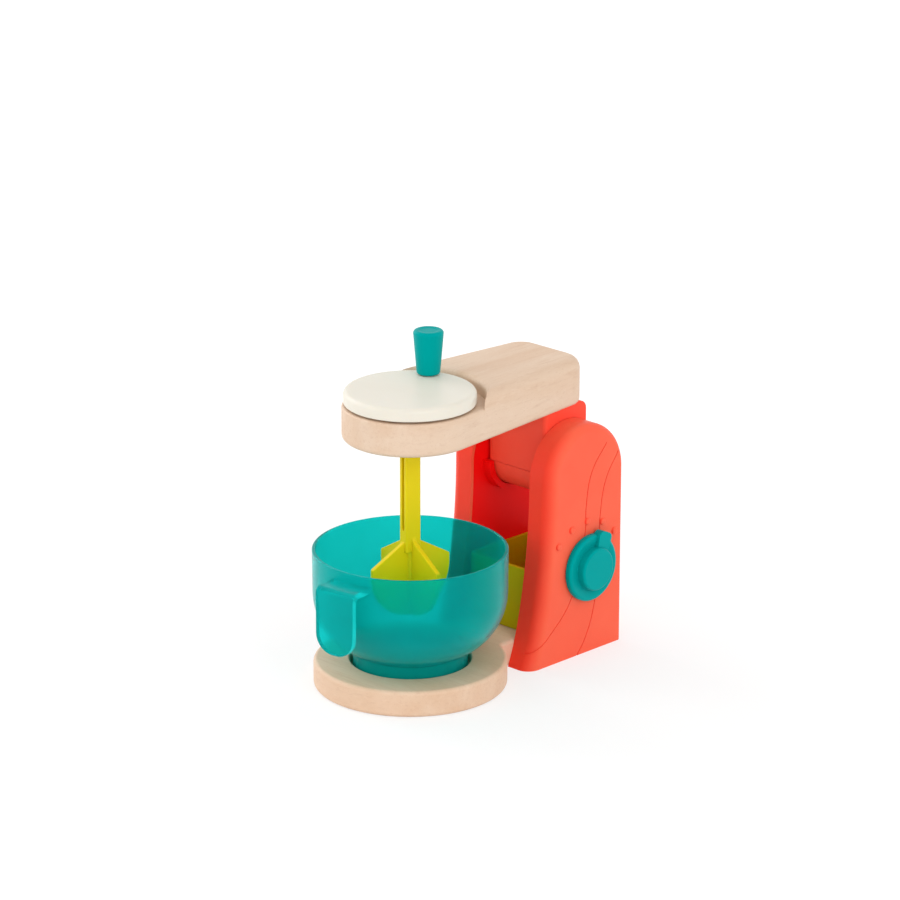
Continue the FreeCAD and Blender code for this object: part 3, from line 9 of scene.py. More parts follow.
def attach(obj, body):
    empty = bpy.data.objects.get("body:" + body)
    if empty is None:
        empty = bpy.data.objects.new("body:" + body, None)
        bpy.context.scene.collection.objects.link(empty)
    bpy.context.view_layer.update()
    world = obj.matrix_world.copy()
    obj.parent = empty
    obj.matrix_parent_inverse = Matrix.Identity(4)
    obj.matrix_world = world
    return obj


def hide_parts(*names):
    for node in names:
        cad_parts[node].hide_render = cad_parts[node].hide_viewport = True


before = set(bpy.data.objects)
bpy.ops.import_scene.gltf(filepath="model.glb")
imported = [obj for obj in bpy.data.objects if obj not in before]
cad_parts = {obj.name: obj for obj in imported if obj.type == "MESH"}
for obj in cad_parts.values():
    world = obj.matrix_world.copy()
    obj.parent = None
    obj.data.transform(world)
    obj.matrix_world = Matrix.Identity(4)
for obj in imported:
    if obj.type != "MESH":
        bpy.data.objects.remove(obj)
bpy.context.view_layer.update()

# Toy stand mixer. Shapes are drawn in millimetres and degrees, and finished() turns
# them into metres. Each dictionary holds the sizes of the piece whose code follows it.
mm = 0.001
past = 1.0   # how far a cutting tool runs past the surface that it opens
sideways = Matrix(((0, 0, 1, 0), (1, 0, 0, 0), (0, 1, 0, 0), (0, 0, 0, 1)))  # x, y, z go to y, z, x
upright = Matrix(((1, 0, 0, 0), (0, 0, -1, 0), (0, 1, 0, 0), (0, 0, 0, 1)))  # x, y, z go to x, z, -y


# drawing

def lineTo(bm, vert, x, y):
    if (vert.co.xy - Vector((x, y))).length < 1e-4:
        return vert
    fresh = bmesh.ops.extrude_vert_indiv(bm, verts=[vert])["verts"][0]
    fresh.co = Vector((x, y, vert.co.z))
    return fresh


def arcTo(bm, vert, x, y, degrees, steps):
    # positive degrees turn from X towards Y, round the centre (x, y)
    moved = bmesh.ops.spin(bm, geom=[vert], cent=(x, y, vert.co.z), axis=(0, 0, 1), dvec=(0, 0, 0),
                           angle=math.radians(degrees), steps=steps, use_merge=False,
                           use_normal_flip=False, use_duplicate=False)
    return next(item for item in moved["geom_last"] if isinstance(item, bmesh.types.BMVert))


def drawn(bm, start, moves):
    # a closed face: a move of two numbers is a line's end, one of four an arc
    first = last = bm.verts.new((*start, 0))
    for move in moves:
        last = lineTo(bm, last, *move) if len(move) == 2 else arcTo(bm, last, *move)
    if (first.co - last.co).length < 0.01:
        bmesh.ops.pointmerge(bm, verts=[first, last], merge_co=first.co)
    else:
        bm.edges.new((last, first))
    return bmesh.ops.contextual_create(bm, geom=bm.edges[:])["faces"][0]


def rounded(corners):
    # the start and the moves of an outline with corners (x, y) or (x, y, radius)
    spots = [Vector(corner[:2]) for corner in corners]
    start, moves = None, []
    for index, here in enumerate(spots):
        radius = corners[index][2] if len(corners[index]) > 2 else 0
        back = (spots[index - 1] - here).normalized()
        ahead = (spots[(index + 1) % len(spots)] - here).normalized()
        half = back.angle(ahead) / 2
        entry = here + back * (radius / math.tan(half)) if radius else here
        start = start or entry
        moves.append(tuple(entry))
        if radius:
            centre = here + (back + ahead).normalized() * (radius / math.sin(half))
            turn = 180 - math.degrees(2 * half)
            way = 1 if back.cross(ahead) < 0 else -1
            steps = max(5, round(turn / (2.5 if radius > 10 else 10)))
            moves.append((*centre, way * turn, steps))
    return start, moves


def pulled(bm, face):
    # extrudes a face and drops the old one where other faces already meet it
    lone = all(edge.is_boundary for edge in face.edges)
    grown = bmesh.ops.extrude_face_region(bm, geom=[face])["geom"]
    if not lone and face.is_valid:
        bmesh.ops.delete(bm, geom=[face], context="FACES_ONLY")
    return next(item for item in grown if isinstance(item, bmesh.types.BMFace))


def raised(bm, face, height):
    top = pulled(bm, face)
    bmesh.ops.translate(bm, vec=(0, 0, height), verts=top.verts)
    bmesh.ops.recalc_face_normals(bm, faces=bm.faces[:])
    return bm


def soften(bm, width, test, segments=5):
    edges = [edge for edge in bm.edges if test(edge)]
    bmesh.ops.bevel(bm, geom=edges, offset=width, offset_type="OFFSET", segments=segments, profile=0.5,
                    affect="EDGES", clamp_overlap=True, material=-1)
    return bm


def atHeight(height):
    return lambda edge: all(abs(vert.co.z - height) < 0.002 for vert in edge.verts)


def along(axis):
    return lambda edge: abs((edge.verts[0].co - edge.verts[1].co).normalized()[axis]) > 0.99


def bent(edge):
    return edge.is_manifold and edge.calc_face_angle() > math.radians(40)


def slab(outline, low, high, top=0.0, bottom=0.0):
    bm = bmesh.new()
    face = drawn(bm, *outline)
    bmesh.ops.translate(bm, vec=(0, 0, low), verts=bm.verts[:])
    raised(bm, face, high - low)
    if top:
        soften(bm, top, atHeight(high))
    if bottom:
        soften(bm, bottom, atHeight(low))
    return bm


def turned(outline, around=128):
    # half an outline of (radius, height), spun round the Z axis
    bm = bmesh.new()
    face = drawn(bm, *outline)
    bmesh.ops.delete(bm, geom=[face], context="FACES_ONLY")
    bmesh.ops.transform(bm, matrix=upright, verts=bm.verts[:])
    spine = [edge for edge in bm.edges if all(abs(vert.co.x) < 1e-5 for vert in edge.verts)]
    bmesh.ops.delete(bm, geom=spine, context="EDGES")
    bmesh.ops.spin(bm, geom=bm.verts[:] + bm.edges[:], cent=(0, 0, 0), axis=(0, 0, 1), dvec=(0, 0, 0),
                   angle=math.tau, steps=around, use_merge=True, use_normal_flip=False,
                   use_duplicate=False)
    bmesh.ops.remove_doubles(bm, verts=bm.verts[:], dist=1e-4)
    bmesh.ops.recalc_face_normals(bm, faces=bm.faces[:])
    return bm


# joining, cutting and handing over

def rough(bm, name, turn=None, shift=(0, 0, 0)):
    # an object whose mesh is still in millimetres
    matrix = Matrix.Translation(shift) @ (turn or Matrix.Identity(4))
    bmesh.ops.transform(bm, matrix=matrix, verts=bm.verts[:])
    mesh = bpy.data.meshes.new(name)
    bm.to_mesh(mesh)
    bm.free()
    obj = bpy.data.objects.new(name, mesh)
    bpy.context.scene.collection.objects.link(obj)
    return obj


def bakedMesh(obj):
    graph = bpy.context.evaluated_depsgraph_get()
    return bpy.data.meshes.new_from_object(obj.evaluated_get(graph))


def settle(obj):
    mesh = bakedMesh(obj)
    obj.modifiers.clear()
    obj.data = mesh
    return obj


def combine(obj, operation, *others):
    for other in others:
        boolean = obj.modifiers.new("shape", "BOOLEAN")
        boolean.operation = operation
        boolean.solver = "EXACT"
        boolean.object = other
        settle(obj)
        bpy.data.objects.remove(other)
    return obj


def edited(obj, change, *settings):
    bm = bmesh.new()
    bm.from_mesh(obj.data)
    change(bm, *settings)
    bm.to_mesh(obj.data)
    bm.free()
    return obj


def mirrorImage(obj, name):
    mesh = obj.data.copy()
    mesh.transform(Matrix.Diagonal((-1, 1, 1, 1)))
    mesh.flip_normals()
    twin = bpy.data.objects.new(name, mesh)
    bpy.context.scene.collection.objects.link(twin)
    return twin


def cleaned(bm, weld):
    bmesh.ops.remove_doubles(bm, verts=bm.verts[:], dist=weld)
    bmesh.ops.dissolve_degenerate(bm, edges=bm.edges[:], dist=weld / 4)
    bmesh.ops.recalc_face_normals(bm, faces=bm.faces[:])
    bmesh.ops.scale(bm, vec=(mm, mm, mm), verts=bm.verts[:])


def finished(obj, name, body, material, node, sharp=30.0):
    edited(obj, cleaned, 0.003)
    obj.name = obj.data.name = name
    obj.data.materials.clear()
    obj.data.materials.append(material)
    obj.data.polygons.foreach_set("use_smooth", [True] * len(obj.data.polygons))
    obj.data.set_sharp_from_angle(angle=math.radians(sharp))
    shading = obj.modifiers.new("shading", "WEIGHTED_NORMAL")
    shading.keep_sharp = True
    settle(obj)
    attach(obj, body)
    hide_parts(node)
    return obj


# materials

def startMaterial(name):
    material = bpy.data.materials.new(name)
    material.use_nodes = True
    tree = material.node_tree
    where = tree.nodes.new("ShaderNodeTexCoord").outputs["Object"]
    return material, tree, tree.nodes["Principled BSDF"], where


def addNode(tree, kind, inputs, **settings):
    node = tree.nodes.new("ShaderNode" + kind)
    for key, value in settings.items():
        setattr(node, key, value)
    for key, value in inputs.items():
        if isinstance(value, bpy.types.NodeSocket):
            tree.links.new(value, node.inputs[key])
        else:
            node.inputs[key].default_value = value
    return node


def noiseAt(tree, where, scale, detail=3.0, roughness=0.5, distortion=0.0):
    return addNode(tree, "TexNoise", {"Vector": where, "Scale": scale, "Detail": detail,
                                      "Roughness": roughness, "Distortion": distortion}).outputs["Fac"]


def stretched(tree, where, scale, degrees=(0, 0, 0)):
    turn = [math.radians(angle) for angle in degrees]
    return addNode(tree, "Mapping", {"Vector": where, "Scale": scale, "Rotation": turn}).outputs["Vector"]


def ranged(tree, value, low, high, start, end):
    return addNode(tree, "MapRange", {"Value": value, "From Min": low, "From Max": high,
                                      "To Min": start, "To Max": end}).outputs["Result"]


def blended(tree, factor, first, second):
    sides = [value if isinstance(value, bpy.types.NodeSocket) else (*value, 1) for value in (first, second)]
    return addNode(tree, "Mix", {0: factor, 6: sides[0], 7: sides[1]}, data_type="RGBA").outputs[2]


def bumped(tree, height, strength, distance, below=None):
    inputs = {"Height": height, "Strength": strength, "Distance": distance}
    if below is not None:
        inputs["Normal"] = below
    return addNode(tree, "Bump", inputs).outputs["Normal"]


noiseSpread = (0.35, 0.65)   # the part of a noise that a change of tone spans
fineSpread = (0.3, 0.7)
plastics = {
    # the coral's front tone is painted shade for the faces turned to the front and the back
    "coralPlastic": dict(colour=(0.97, 0.135, 0.069), deep=(0.95, 0.118, 0.060), front=(0.99, 0.052, 0.026),
                         roughness=0.42, glow=0.12, radius=(0.0040, 0.0010, 0.0005), specular=0.24,
                         sheen=(1.0, 0.6, 0.5)),
    # the hinge and cover corals are shaded copies of the coral, deeper and redder: painted shade for the
    # hinge and the tower covers between the towers
    "shadedHingeCoral": dict(colour=(1.0, 0.088, 0.048), deep=(1.0, 0.079, 0.043), roughness=0.45,
                       glow=0.05, radius=(0.0040, 0.0010, 0.0005), specular=0.20, sheen=(1.0, 0.4, 0.4)),
    "shadedCoverCoral": dict(colour=(1.0, 0.007, 0.007), deep=(1.0, 0.006, 0.006), roughness=0.45,
                       glow=0.04, radius=(0.0040, 0.0008, 0.0004), specular=0.14, sheen=(1.0, 0.1, 0.1)),
    "tealPlastic": dict(colour=(0.0, 0.345, 0.335), deep=(0.0, 0.32, 0.31), roughness=0.40,
                        glow=0.05, radius=(0.0002, 0.0025, 0.0025), specular=0.07, sheen=(0.0, 1.0, 1.0)),
    "limePlastic": dict(colour=(0.84, 0.650, 0.008), deep=(0.80, 0.610, 0.006), roughness=0.36,
                        glow=0.10, radius=(0.0030, 0.0030, 0.0002), specular=0.20, sheen=(1.0, 1.0, 0.4)),
    # the tray's lime is a darker copy of the lime: painted shade for the tray between the towers
    "shadedTrayLime": dict(colour=(0.61, 0.464, 0.002), deep=(0.575, 0.438, 0.002), roughness=0.40,
                     glow=0.10, radius=(0.0030, 0.0030, 0.0002), specular=0.14, sheen=(1.0, 1.0, 0.1)),
    "ivoryPlastic": dict(colour=(0.78, 0.738, 0.644), deep=(0.76, 0.714, 0.616), roughness=0.40,
                         glow=0.10, radius=(0.0040, 0.0030, 0.0020), specular=0.30,
                         sheen=(1.0, 1.0, 1.0)),
    "whitePlastic": dict(colour=(0.82, 0.82, 0.80), deep=(0.78, 0.78, 0.76), roughness=0.45,
                         glow=0.05, radius=(0.0030, 0.0030, 0.0030), specular=0.30,
                         sheen=(1.0, 1.0, 1.0)),
}
skin = dict(blotch=22.0, grain=2600.0, grainShare=0.35, grainDepth=0.00003, wave=70.0, waveShare=0.25,
            waveDepth=0.00012, glossSpread=0.05, frontFrom=0.25, frontTo=0.95)


def makePlastic(name):
    look = plastics[name]
    material, tree, shader, where = startMaterial(name)
    blotch = ranged(tree, noiseAt(tree, where, skin["blotch"]), *noiseSpread, 0, 1)
    tone = blended(tree, blotch, look["colour"], look["deep"])
    if "front" in look:  # painted shade: a deeper, redder tone where the moulding turns to the front and the back, standing in for the shade on those faces
        facing = addNode(tree, "SeparateXYZ", {0: tree.nodes["Texture Coordinate"].outputs["Normal"]})
        frontness = addNode(tree, "Math", {0: facing.outputs["Y"]}, operation="ABSOLUTE").outputs[0]
        share = ranged(tree, frontness, skin["frontFrom"], skin["frontTo"], 0, 1)
        tone = blended(tree, share, tone, look["front"])
    tree.links.new(tone, shader.inputs["Base Color"])
    grain = noiseAt(tree, where, skin["grain"], 2.0)
    matt = look["roughness"]
    gloss = ranged(tree, grain, *fineSpread, matt - skin["glossSpread"], matt + skin["glossSpread"])
    tree.links.new(gloss, shader.inputs["Roughness"])
    wave = bumped(tree, noiseAt(tree, where, skin["wave"], 1.0), skin["waveShare"], skin["waveDepth"])
    tree.links.new(bumped(tree, grain, skin["grainShare"], skin["grainDepth"], wave), shader.inputs["Normal"])
    reach = max(look["radius"])
    shader.inputs["Specular IOR Level"].default_value = look["specular"]
    shader.inputs["Specular Tint"].default_value = (*look["sheen"], 1)
    shader.inputs["Subsurface Weight"].default_value = look["glow"]
    shader.inputs["Subsurface Radius"].default_value = [part / reach for part in look["radius"]]
    shader.inputs["Subsurface Scale"].default_value = reach
    return material


beech = dict(light=(0.84, 0.655, 0.50), warm=(0.79, 0.575, 0.41), dark=(0.60, 0.375, 0.25),
             pale=(0.92, 0.77, 0.64), specular=0.35, roughness=(0.46, 0.60),
             band=46.0, bandSpread=(0.38, 0.68),
             streak=480.0, streakSpread=(0.52, 0.80), streakShare=0.35, streakDepth=0.00010,
             pore=1500.0, poreSpread=(0.60, 0.74), poreShare=0.30, poreDepth=-0.00006, poreLength=0.3,
             fleck=520.0, fleckSpread=(0.55, 0.75), fleckShare=0.22)


def makeWood(name, fibre, degrees, warmth):
    # fibre scales the noise: small along the grain
    light, warm, dark, pale = ([part * share for part, share in zip(beech[key], warmth)]
                               for key in ("light", "warm", "dark", "pale"))
    material, tree, shader, where = startMaterial(name)
    fibres = stretched(tree, where, fibre, degrees)
    shorter = stretched(tree, where, [max(part, beech["poreLength"]) for part in fibre], degrees)
    band = noiseAt(tree, fibres, beech["band"], 4.0, 0.55, 0.6)
    streak = noiseAt(tree, fibres, beech["streak"], 5.0, 0.65)
    fleck = noiseAt(tree, shorter, beech["fleck"], 2.0)
    pores = ranged(tree, noiseAt(tree, shorter, beech["pore"], 2.0), *beech["poreSpread"], 0, 1)
    faint = addNode(tree, "Math", {0: pores, 1: beech["poreShare"]}, operation="MULTIPLY").outputs[0]
    tone = blended(tree, ranged(tree, band, *beech["bandSpread"], 0, 1), light, warm)
    tone = blended(tree, ranged(tree, streak, *beech["streakSpread"], 0, beech["streakShare"]), tone, dark)
    tone = blended(tree, faint, tone, dark)
    tone = blended(tree, ranged(tree, fleck, *beech["fleckSpread"], 0, beech["fleckShare"]), tone, pale)
    tree.links.new(tone, shader.inputs["Base Color"])
    tree.links.new(ranged(tree, streak, *fineSpread, *beech["roughness"]), shader.inputs["Roughness"])
    pits = bumped(tree, pores, 0.35, beech["poreDepth"])
    tree.links.new(bumped(tree, streak, 0.25, beech["streakDepth"], pits), shader.inputs["Normal"])
    shader.inputs["Specular IOR Level"].default_value = beech["specular"]
    return material


clear = dict(colour=(0.008, 0.665, 0.645), deep=(0.006, 0.635, 0.615), cloud=30.0, transmission=0.75,
             roughness=(0.16, 0.24), grain=1800.0, wave=60.0, waveDepth=0.0002, bend=1.19,
             sheen=(0.0, 1.0, 1.0))


def makeClearPlastic():
    material, tree, shader, where = startMaterial("clearTeal")
    cloud = ranged(tree, noiseAt(tree, where, clear["cloud"]), *noiseSpread, 0, 1)
    tree.links.new(blended(tree, cloud, clear["colour"], clear["deep"]), shader.inputs["Base Color"])
    grain = noiseAt(tree, where, clear["grain"], 2.0)
    tree.links.new(ranged(tree, grain, *fineSpread, *clear["roughness"]), shader.inputs["Roughness"])
    wave = bumped(tree, noiseAt(tree, where, clear["wave"], 1.0), 0.2, clear["waveDepth"])
    tree.links.new(wave, shader.inputs["Normal"])
    shader.inputs["Transmission Weight"].default_value = clear["transmission"]
    shader.inputs["IOR"].default_value = clear["bend"]
    shader.inputs["Specular Tint"].default_value = (*clear["sheen"], 1)
    return material


metals = {
    "axleSteel": dict(colour=(0.62, 0.62, 0.63), roughness=0.28),
    "screwSteel": dict(colour=(0.60, 0.60, 0.62), roughness=0.34),
    "springSteel": dict(colour=(0.36, 0.37, 0.42), roughness=0.30),
}
brushed = dict(along=(0.1, 1, 1), scratch=3000.0, scratchDepth=0.00002, worn=0.82, smoother=0.06,
               rougher=0.10)


def makeMetal(name):
    look = metals[name]
    material, tree, shader, where = startMaterial(name)
    scratch = noiseAt(tree, stretched(tree, where, brushed["along"]), brushed["scratch"])
    worn = [part * brushed["worn"] for part in look["colour"]]
    tree.links.new(blended(tree, scratch, look["colour"], worn), shader.inputs["Base Color"])
    gloss = ranged(tree, scratch, *fineSpread, look["roughness"] - brushed["smoother"],
                   look["roughness"] + brushed["rougher"])
    tree.links.new(gloss, shader.inputs["Roughness"])
    tree.links.new(bumped(tree, scratch, 0.2, brushed["scratchDepth"]), shader.inputs["Normal"])
    shader.inputs["Metallic"].default_value = 1.0
    return material


coral, shadedHingeCoral, shadedCoverCoral, teal, lime, shadedTrayLime, ivory, white = (makePlastic(name) for name in plastics)
axleSteel, screwSteel, springSteel = (makeMetal(name) for name in metals)
clearTeal = makeClearPlastic()
armWood = makeWood("armWood", (1.0, 0.07, 1.0), (0, 0, 3), (0.875, 0.845, 0.825))
baseWood = makeWood("baseWood", (0.07, 1.0, 1.0), (0, 2, -4), (0.945, 0.86, 0.81))
print("materials made")


# towers

tower = dict(pivotY=109.0, pivotZ=113.5, inner=24.4, width=17.25, arch=32.2, sweep=400.0, footStart=24.0,
             foot=146.0, frontRound=8.0, rearRound=2.5, wall=2.4, cavityRound=4.5, cavityRear=0.9,
             runOut=16.0, grooveRadius=0.45, grooveSunk=0.3)
towerOuter = tower["inner"] + tower["width"]
sweepLean = math.asin((tower["pivotZ"] - tower["footStart"]) / tower["sweep"])
sweepY = tower["pivotY"] - tower["arch"] - tower["sweep"]
footY = sweepY + (tower["sweep"] - tower["foot"]) * math.cos(sweepLean)
footZ = tower["pivotZ"] - (tower["sweep"] - tower["foot"]) * math.sin(sweepLean)
toeY = footY + math.sqrt(tower["foot"] ** 2 - footZ ** 2)
dial = dict(y=111.0, z=55.3, gap=0.25, radius=21.0, flange=4.6, edge=1.9, dish=1.5, cap=13.4,
            capHeight=5.6, capEdge=1.6, capFoot=0.3, pointerWidth=12.2, pointerReach=2.4, pointerHeight=1.9,
            pointerCorner=3.4, pointerEdge=0.5, pointerLow=1.4, pointerTaper=3.8, pointerAngle=67.0,
            stem=4.0, stemLength=3.2)
dots = dict(radius=2.3, height=1.25, edge=1.2, root=1.0, y=108.4, z=51.7, orbit=32.9, first=39.3,
            step=24.3, count=5)
grooves = (
    (("pivot", 17.3, 17.6), ("pivot", 4.3, 1.7), ("pivot", -0.5, -19.0), ("dial", -3.2, 22.4),
     ("dial", -15.4, -17.8), ("toe", 18.3, 19.4), ("toe", 2.6, 9.0)),
    (("pivot", 27.7, 9.8), ("pivot", 16.7, -6.4), ("pivot", 12.0, -28.8), ("dial", 9.6, 21.4),
     ("dial", 6.1, -23.5), ("toe", 50.5, 10.5), ("toe", 42.0, -0.8)),
)
marks = {"pivot": (tower["pivotY"], tower["pivotZ"]), "dial": (dial["y"], dial["z"]), "toe": (toeY, 0.0)}


def towerSide(inset, floor, below=0.0):
    # side outline in (y, z), inside the real one by inset; below carries it on under its floor
    arch, foot, y, z = tower["arch"] - inset, tower["foot"] + inset, tower["pivotY"], tower["pivotZ"]
    dip = math.asin((footZ - floor) / foot)
    toe = footY + foot * math.cos(dip)
    return (y + arch, z), [(y, z, 180, 96), (sweepY, z, -math.degrees(sweepLean), 30),
                           (footY, footZ, math.degrees(sweepLean - dip), 20),
                           (toe - below * math.tan(dip), floor - below), (y + arch, floor - below)]


def swollen(outline, start, end, large, small, steps=10):
    # the outline's face leaves x = start, and its rim curls inwards up to x = end:
    # large along the front, easing over the arch to small along the back
    bm = bmesh.new()
    face = drawn(bm, *outline)
    bmesh.ops.translate(bm, vec=(0, 0, start), verts=bm.verts[:])
    spots = [loop.vert.co.xy for loop in face.loops]
    sides = [(after - here).normalized() for here, after in zip(spots, spots[1:] + spots[:1])]
    turn = 1 if face.normal.z > 0 else -1
    inward = [Vector((-one.y - two.y, one.x + two.x)) * turn / (1 + one.dot(two))
              for one, two in zip(sides[-1:] + sides, sides)]
    shares = [math.atan2(max(spot.y - tower["pivotZ"], 0), spot.x - tower["pivotY"]) / math.pi
              for spot in spots]
    for step in range(steps + 1):
        angle = math.pi / 2 * step / steps
        face = pulled(bm, face)
        for loop, spot, aside, share in zip(face.loops, spots, inward, shares):
            radius = small + (large - small) * share
            across = spot + aside * radius * (1 - math.cos(angle))
            loop.vert.co = (*across, end - radius * (1 - math.sin(angle)))
    bmesh.ops.recalc_face_normals(bm, faces=bm.faces[:])
    return bm


def levelled(bm, height):
    # cuts everything under a height away and closes the cut
    cut = bmesh.ops.bisect_plane(bm, geom=bm.verts[:] + bm.edges[:] + bm.faces[:], dist=1e-5,
                                 plane_co=(0, 0, height), plane_no=(0, 0, -1), clear_outer=True)
    rim = [item for item in cut["geom_cut"] if isinstance(item, bmesh.types.BMEdge)]
    bmesh.ops.contextual_create(bm, geom=rim)


def curveThrough(kind, spots, thickness=0.0):
    curve = bpy.data.curves.new("path", "CURVE")
    curve.dimensions = "3D"
    curve.bevel_depth, curve.bevel_resolution, curve.use_fill_caps = thickness, 3, thickness > 0
    line = curve.splines.new(kind)
    knots = line.bezier_points if kind == "BEZIER" else line.points
    knots.add(len(spots) - 1)
    for knot, spot in zip(knots, spots):
        if kind == "BEZIER":
            knot.co = spot
            knot.handle_left_type = knot.handle_right_type = "AUTO"
        else:
            knot.co = (*spot, 1)
    line.resolution_u = 16
    obj = bpy.data.objects.new("path", curve)
    bpy.context.scene.collection.objects.link(obj)
    mesh = bakedMesh(obj)
    bpy.data.objects.remove(obj)
    made = bpy.data.objects.new("path", mesh)
    bpy.context.scene.collection.objects.link(made)
    return made


def grooveTool(shell, knots):
    # a round wire laid on the shell's outer side
    outside = towerOuter + past
    spots = [(outside, marks[mark][0] + y, marks[mark][1] + z) for mark, y, z in knots]
    guide = curveThrough("BEZIER", spots)
    surface = BVHTree.FromObject(shell, bpy.context.evaluated_depsgraph_get())
    hits = [surface.ray_cast(vert.co, Vector((-1, 0, 0)))[0] for vert in guide.data.vertices]
    bpy.data.objects.remove(guide)
    sunk = Vector((tower["grooveSunk"], 0, 0))
    return curveThrough("POLY", [hit - sunk for hit in hits if hit is not None], tower["grooveRadius"])


def makeTowers():
    wall, inner, runOut = tower["wall"], tower["inner"], tower["runOut"]
    shell = rough(swollen(towerSide(0, 0, runOut), inner, towerOuter, tower["frontRound"],
                          tower["rearRound"]), "shell", sideways)
    combine(shell, "DIFFERENCE", *[grooveTool(shell, knots) for knots in grooves])
    edited(shell, levelled, 0)
    cavity = rough(swollen(towerSide(wall, wall, runOut), inner - past, towerOuter - wall,
                           tower["cavityRound"], tower["cavityRear"], 4), "cavity", sideways)
    combine(shell, "DIFFERENCE", edited(cavity, levelled, wall))
    left = mirrorImage(shell, "shell")
    root, radius, soft = dots["root"], dots["radius"], dots["edge"]
    high = root + dots["height"]
    for index in range(dots["count"]):
        angle = math.radians(dots["first"] + dots["step"] * index)
        place = (towerOuter - root, dots["y"] + dots["orbit"] * math.cos(angle),
                 dots["z"] + dots["orbit"] * math.sin(angle))
        dot = turned(rounded([(0, 0), (radius, 0), (radius, high, soft), (0, high)]), 40)
        combine(shell, "UNION", rough(dot, "dot", sideways, place))
    finished(shell, "right_tower", "base", coral, "right_tower_shell")
    finished(left, "left_tower", "base", coral, "left_tower_shell")


makeTowers()
print("towers made")


# base

base = dict(radius=58.0, thickness=16.2, rounding=2.5, neckHalf=24.3, neckFillet=6.0, neckBack=137.0,
            wellRadius=36.3, wellDepth=7.0, wellRim=0.8)


def makeBase():
    side, fillet, radius, back = base["neckHalf"], base["neckFillet"], base["radius"], base["neckBack"]
    reach = radius + fillet
    filletY = math.sqrt(reach ** 2 - (side + fillet) ** 2)
    lean = math.degrees(math.atan2(filletY, side + fillet))
    touch = ((side + fillet) * radius / reach, filletY * radius / reach)
    plate = slab(((-touch[0], touch[1]),
                  [(0, 0, 180 + 2 * lean, 150), (side + fillet, filletY, -lean, 8), (side, back),
                   (-side, back), (-side, filletY), (-side - fillet, filletY, -lean, 8)]),
                 0, base["thickness"], base["rounding"], base["rounding"])
    wood = rough(plate, "wood")
    well, top, rim = base["wellRadius"], base["thickness"], base["wellRim"]
    low = top - base["wellDepth"]
    tool = turned(rounded([(0, low), (well, low), (well, top - rim), (well + rim + past, top + past),
                           (0, top + past)]), 150)
    combine(wood, "DIFFERENCE", rough(tool, "well"))
    finished(wood, "base_plate", "base", baseWood, "wood_base")


makeBase()
print("base made")


# storage box

box = dict(half=24.2, front=76.0, back=137.0, low=16.25, high=57.0, wall=2.2, floor=2.5, corner=3.0,
           rim=0.66, foot=0.88)


def makeBox():
    half, front, back, corner = box["half"], box["front"], box["back"], box["corner"]
    bm = slab(rounded([(-half, front, corner), (half, front, corner), (half, back, corner),
                       (-half, back, corner)]), box["low"], box["high"])
    top = [face for face in bm.faces if face.normal.z > 0.9]
    bmesh.ops.inset_region(bm, faces=top, thickness=box["wall"], use_even_offset=True)
    raised(bm, top[0], box["floor"] - box["high"] + box["low"])
    soften(bm, box["rim"], atHeight(box["high"]))
    soften(bm, box["rim"], atHeight(box["low"] + box["floor"]))
    soften(bm, box["foot"], atHeight(box["low"]))
    finished(rough(bm, "box"), "storage_tray", "base", shadedTrayLime, "storage_box")


makeBox()
print("box made")


# dial

def makeDial():
    face, edge, radius, cap = dial["flange"], dial["edge"], dial["radius"], dial["cap"]
    sunk = face - dial["dish"]
    top = sunk + dial["capHeight"]
    body = rough(turned(rounded([
        (0, -dial["stemLength"]), (dial["stem"], -dial["stemLength"]), (dial["stem"], 0),
        (radius, 0, edge / 2), (radius, face, edge), (radius - 2 * edge, face - dial["dish"] / 3),
        (cap, sunk, dial["capFoot"]), (cap, top, dial["capEdge"]), (0, top)]), 160), "dial")
    tip, half, nose = radius + dial["pointerReach"], dial["pointerWidth"] / 2, dial["pointerCorner"]
    pointer = slab(rounded([(cap / 2, -half), (tip, -half, nose), (tip, half, nose),
                            (cap / 2, half - dial["pointerTaper"])]),
                   dial["pointerLow"], face + dial["pointerHeight"], dial["pointerEdge"])
    turn = Matrix.Rotation(math.radians(dial["pointerAngle"]), 4, "Z")
    combine(body, "UNION", rough(pointer, "pointer", turn))
    body.data.transform(Matrix.Translation((towerOuter + dial["gap"], dial["y"], dial["z"])) @ sideways)
    finished(body, "speed_knob", "speed_dial", teal, "dial")


makeDial()
print("dial made")


# hinge block and cap

hinge = dict(half=23.8, barrel=18.0, seam=0.25, frontCorner=3.0, backCorner=2.4, rearTop=6.0, bore=3.03,
             capEdge=0.4)
arm = dict(low=154.3, step=174.8, high=183.4, front=40.3, taper=6.0, back=124.4, corner=15.0, topRound=7.3,
           lowRound=3.0, stepRound=1.5, scoop=44.7, lip=3.5, bore=8.05, recess=11.1, recessDepth=1.2)


def boreTool():
    bore, reach = hinge["bore"], hinge["half"] + past
    corners = ((-bore, -bore), (bore, -bore), (bore, bore), (-bore, bore))
    tool = slab(rounded([(y, z, bore) for y, z in corners]), -reach, reach)
    return rough(tool, "bore", sideways, (0, tower["pivotY"], tower["pivotZ"]))


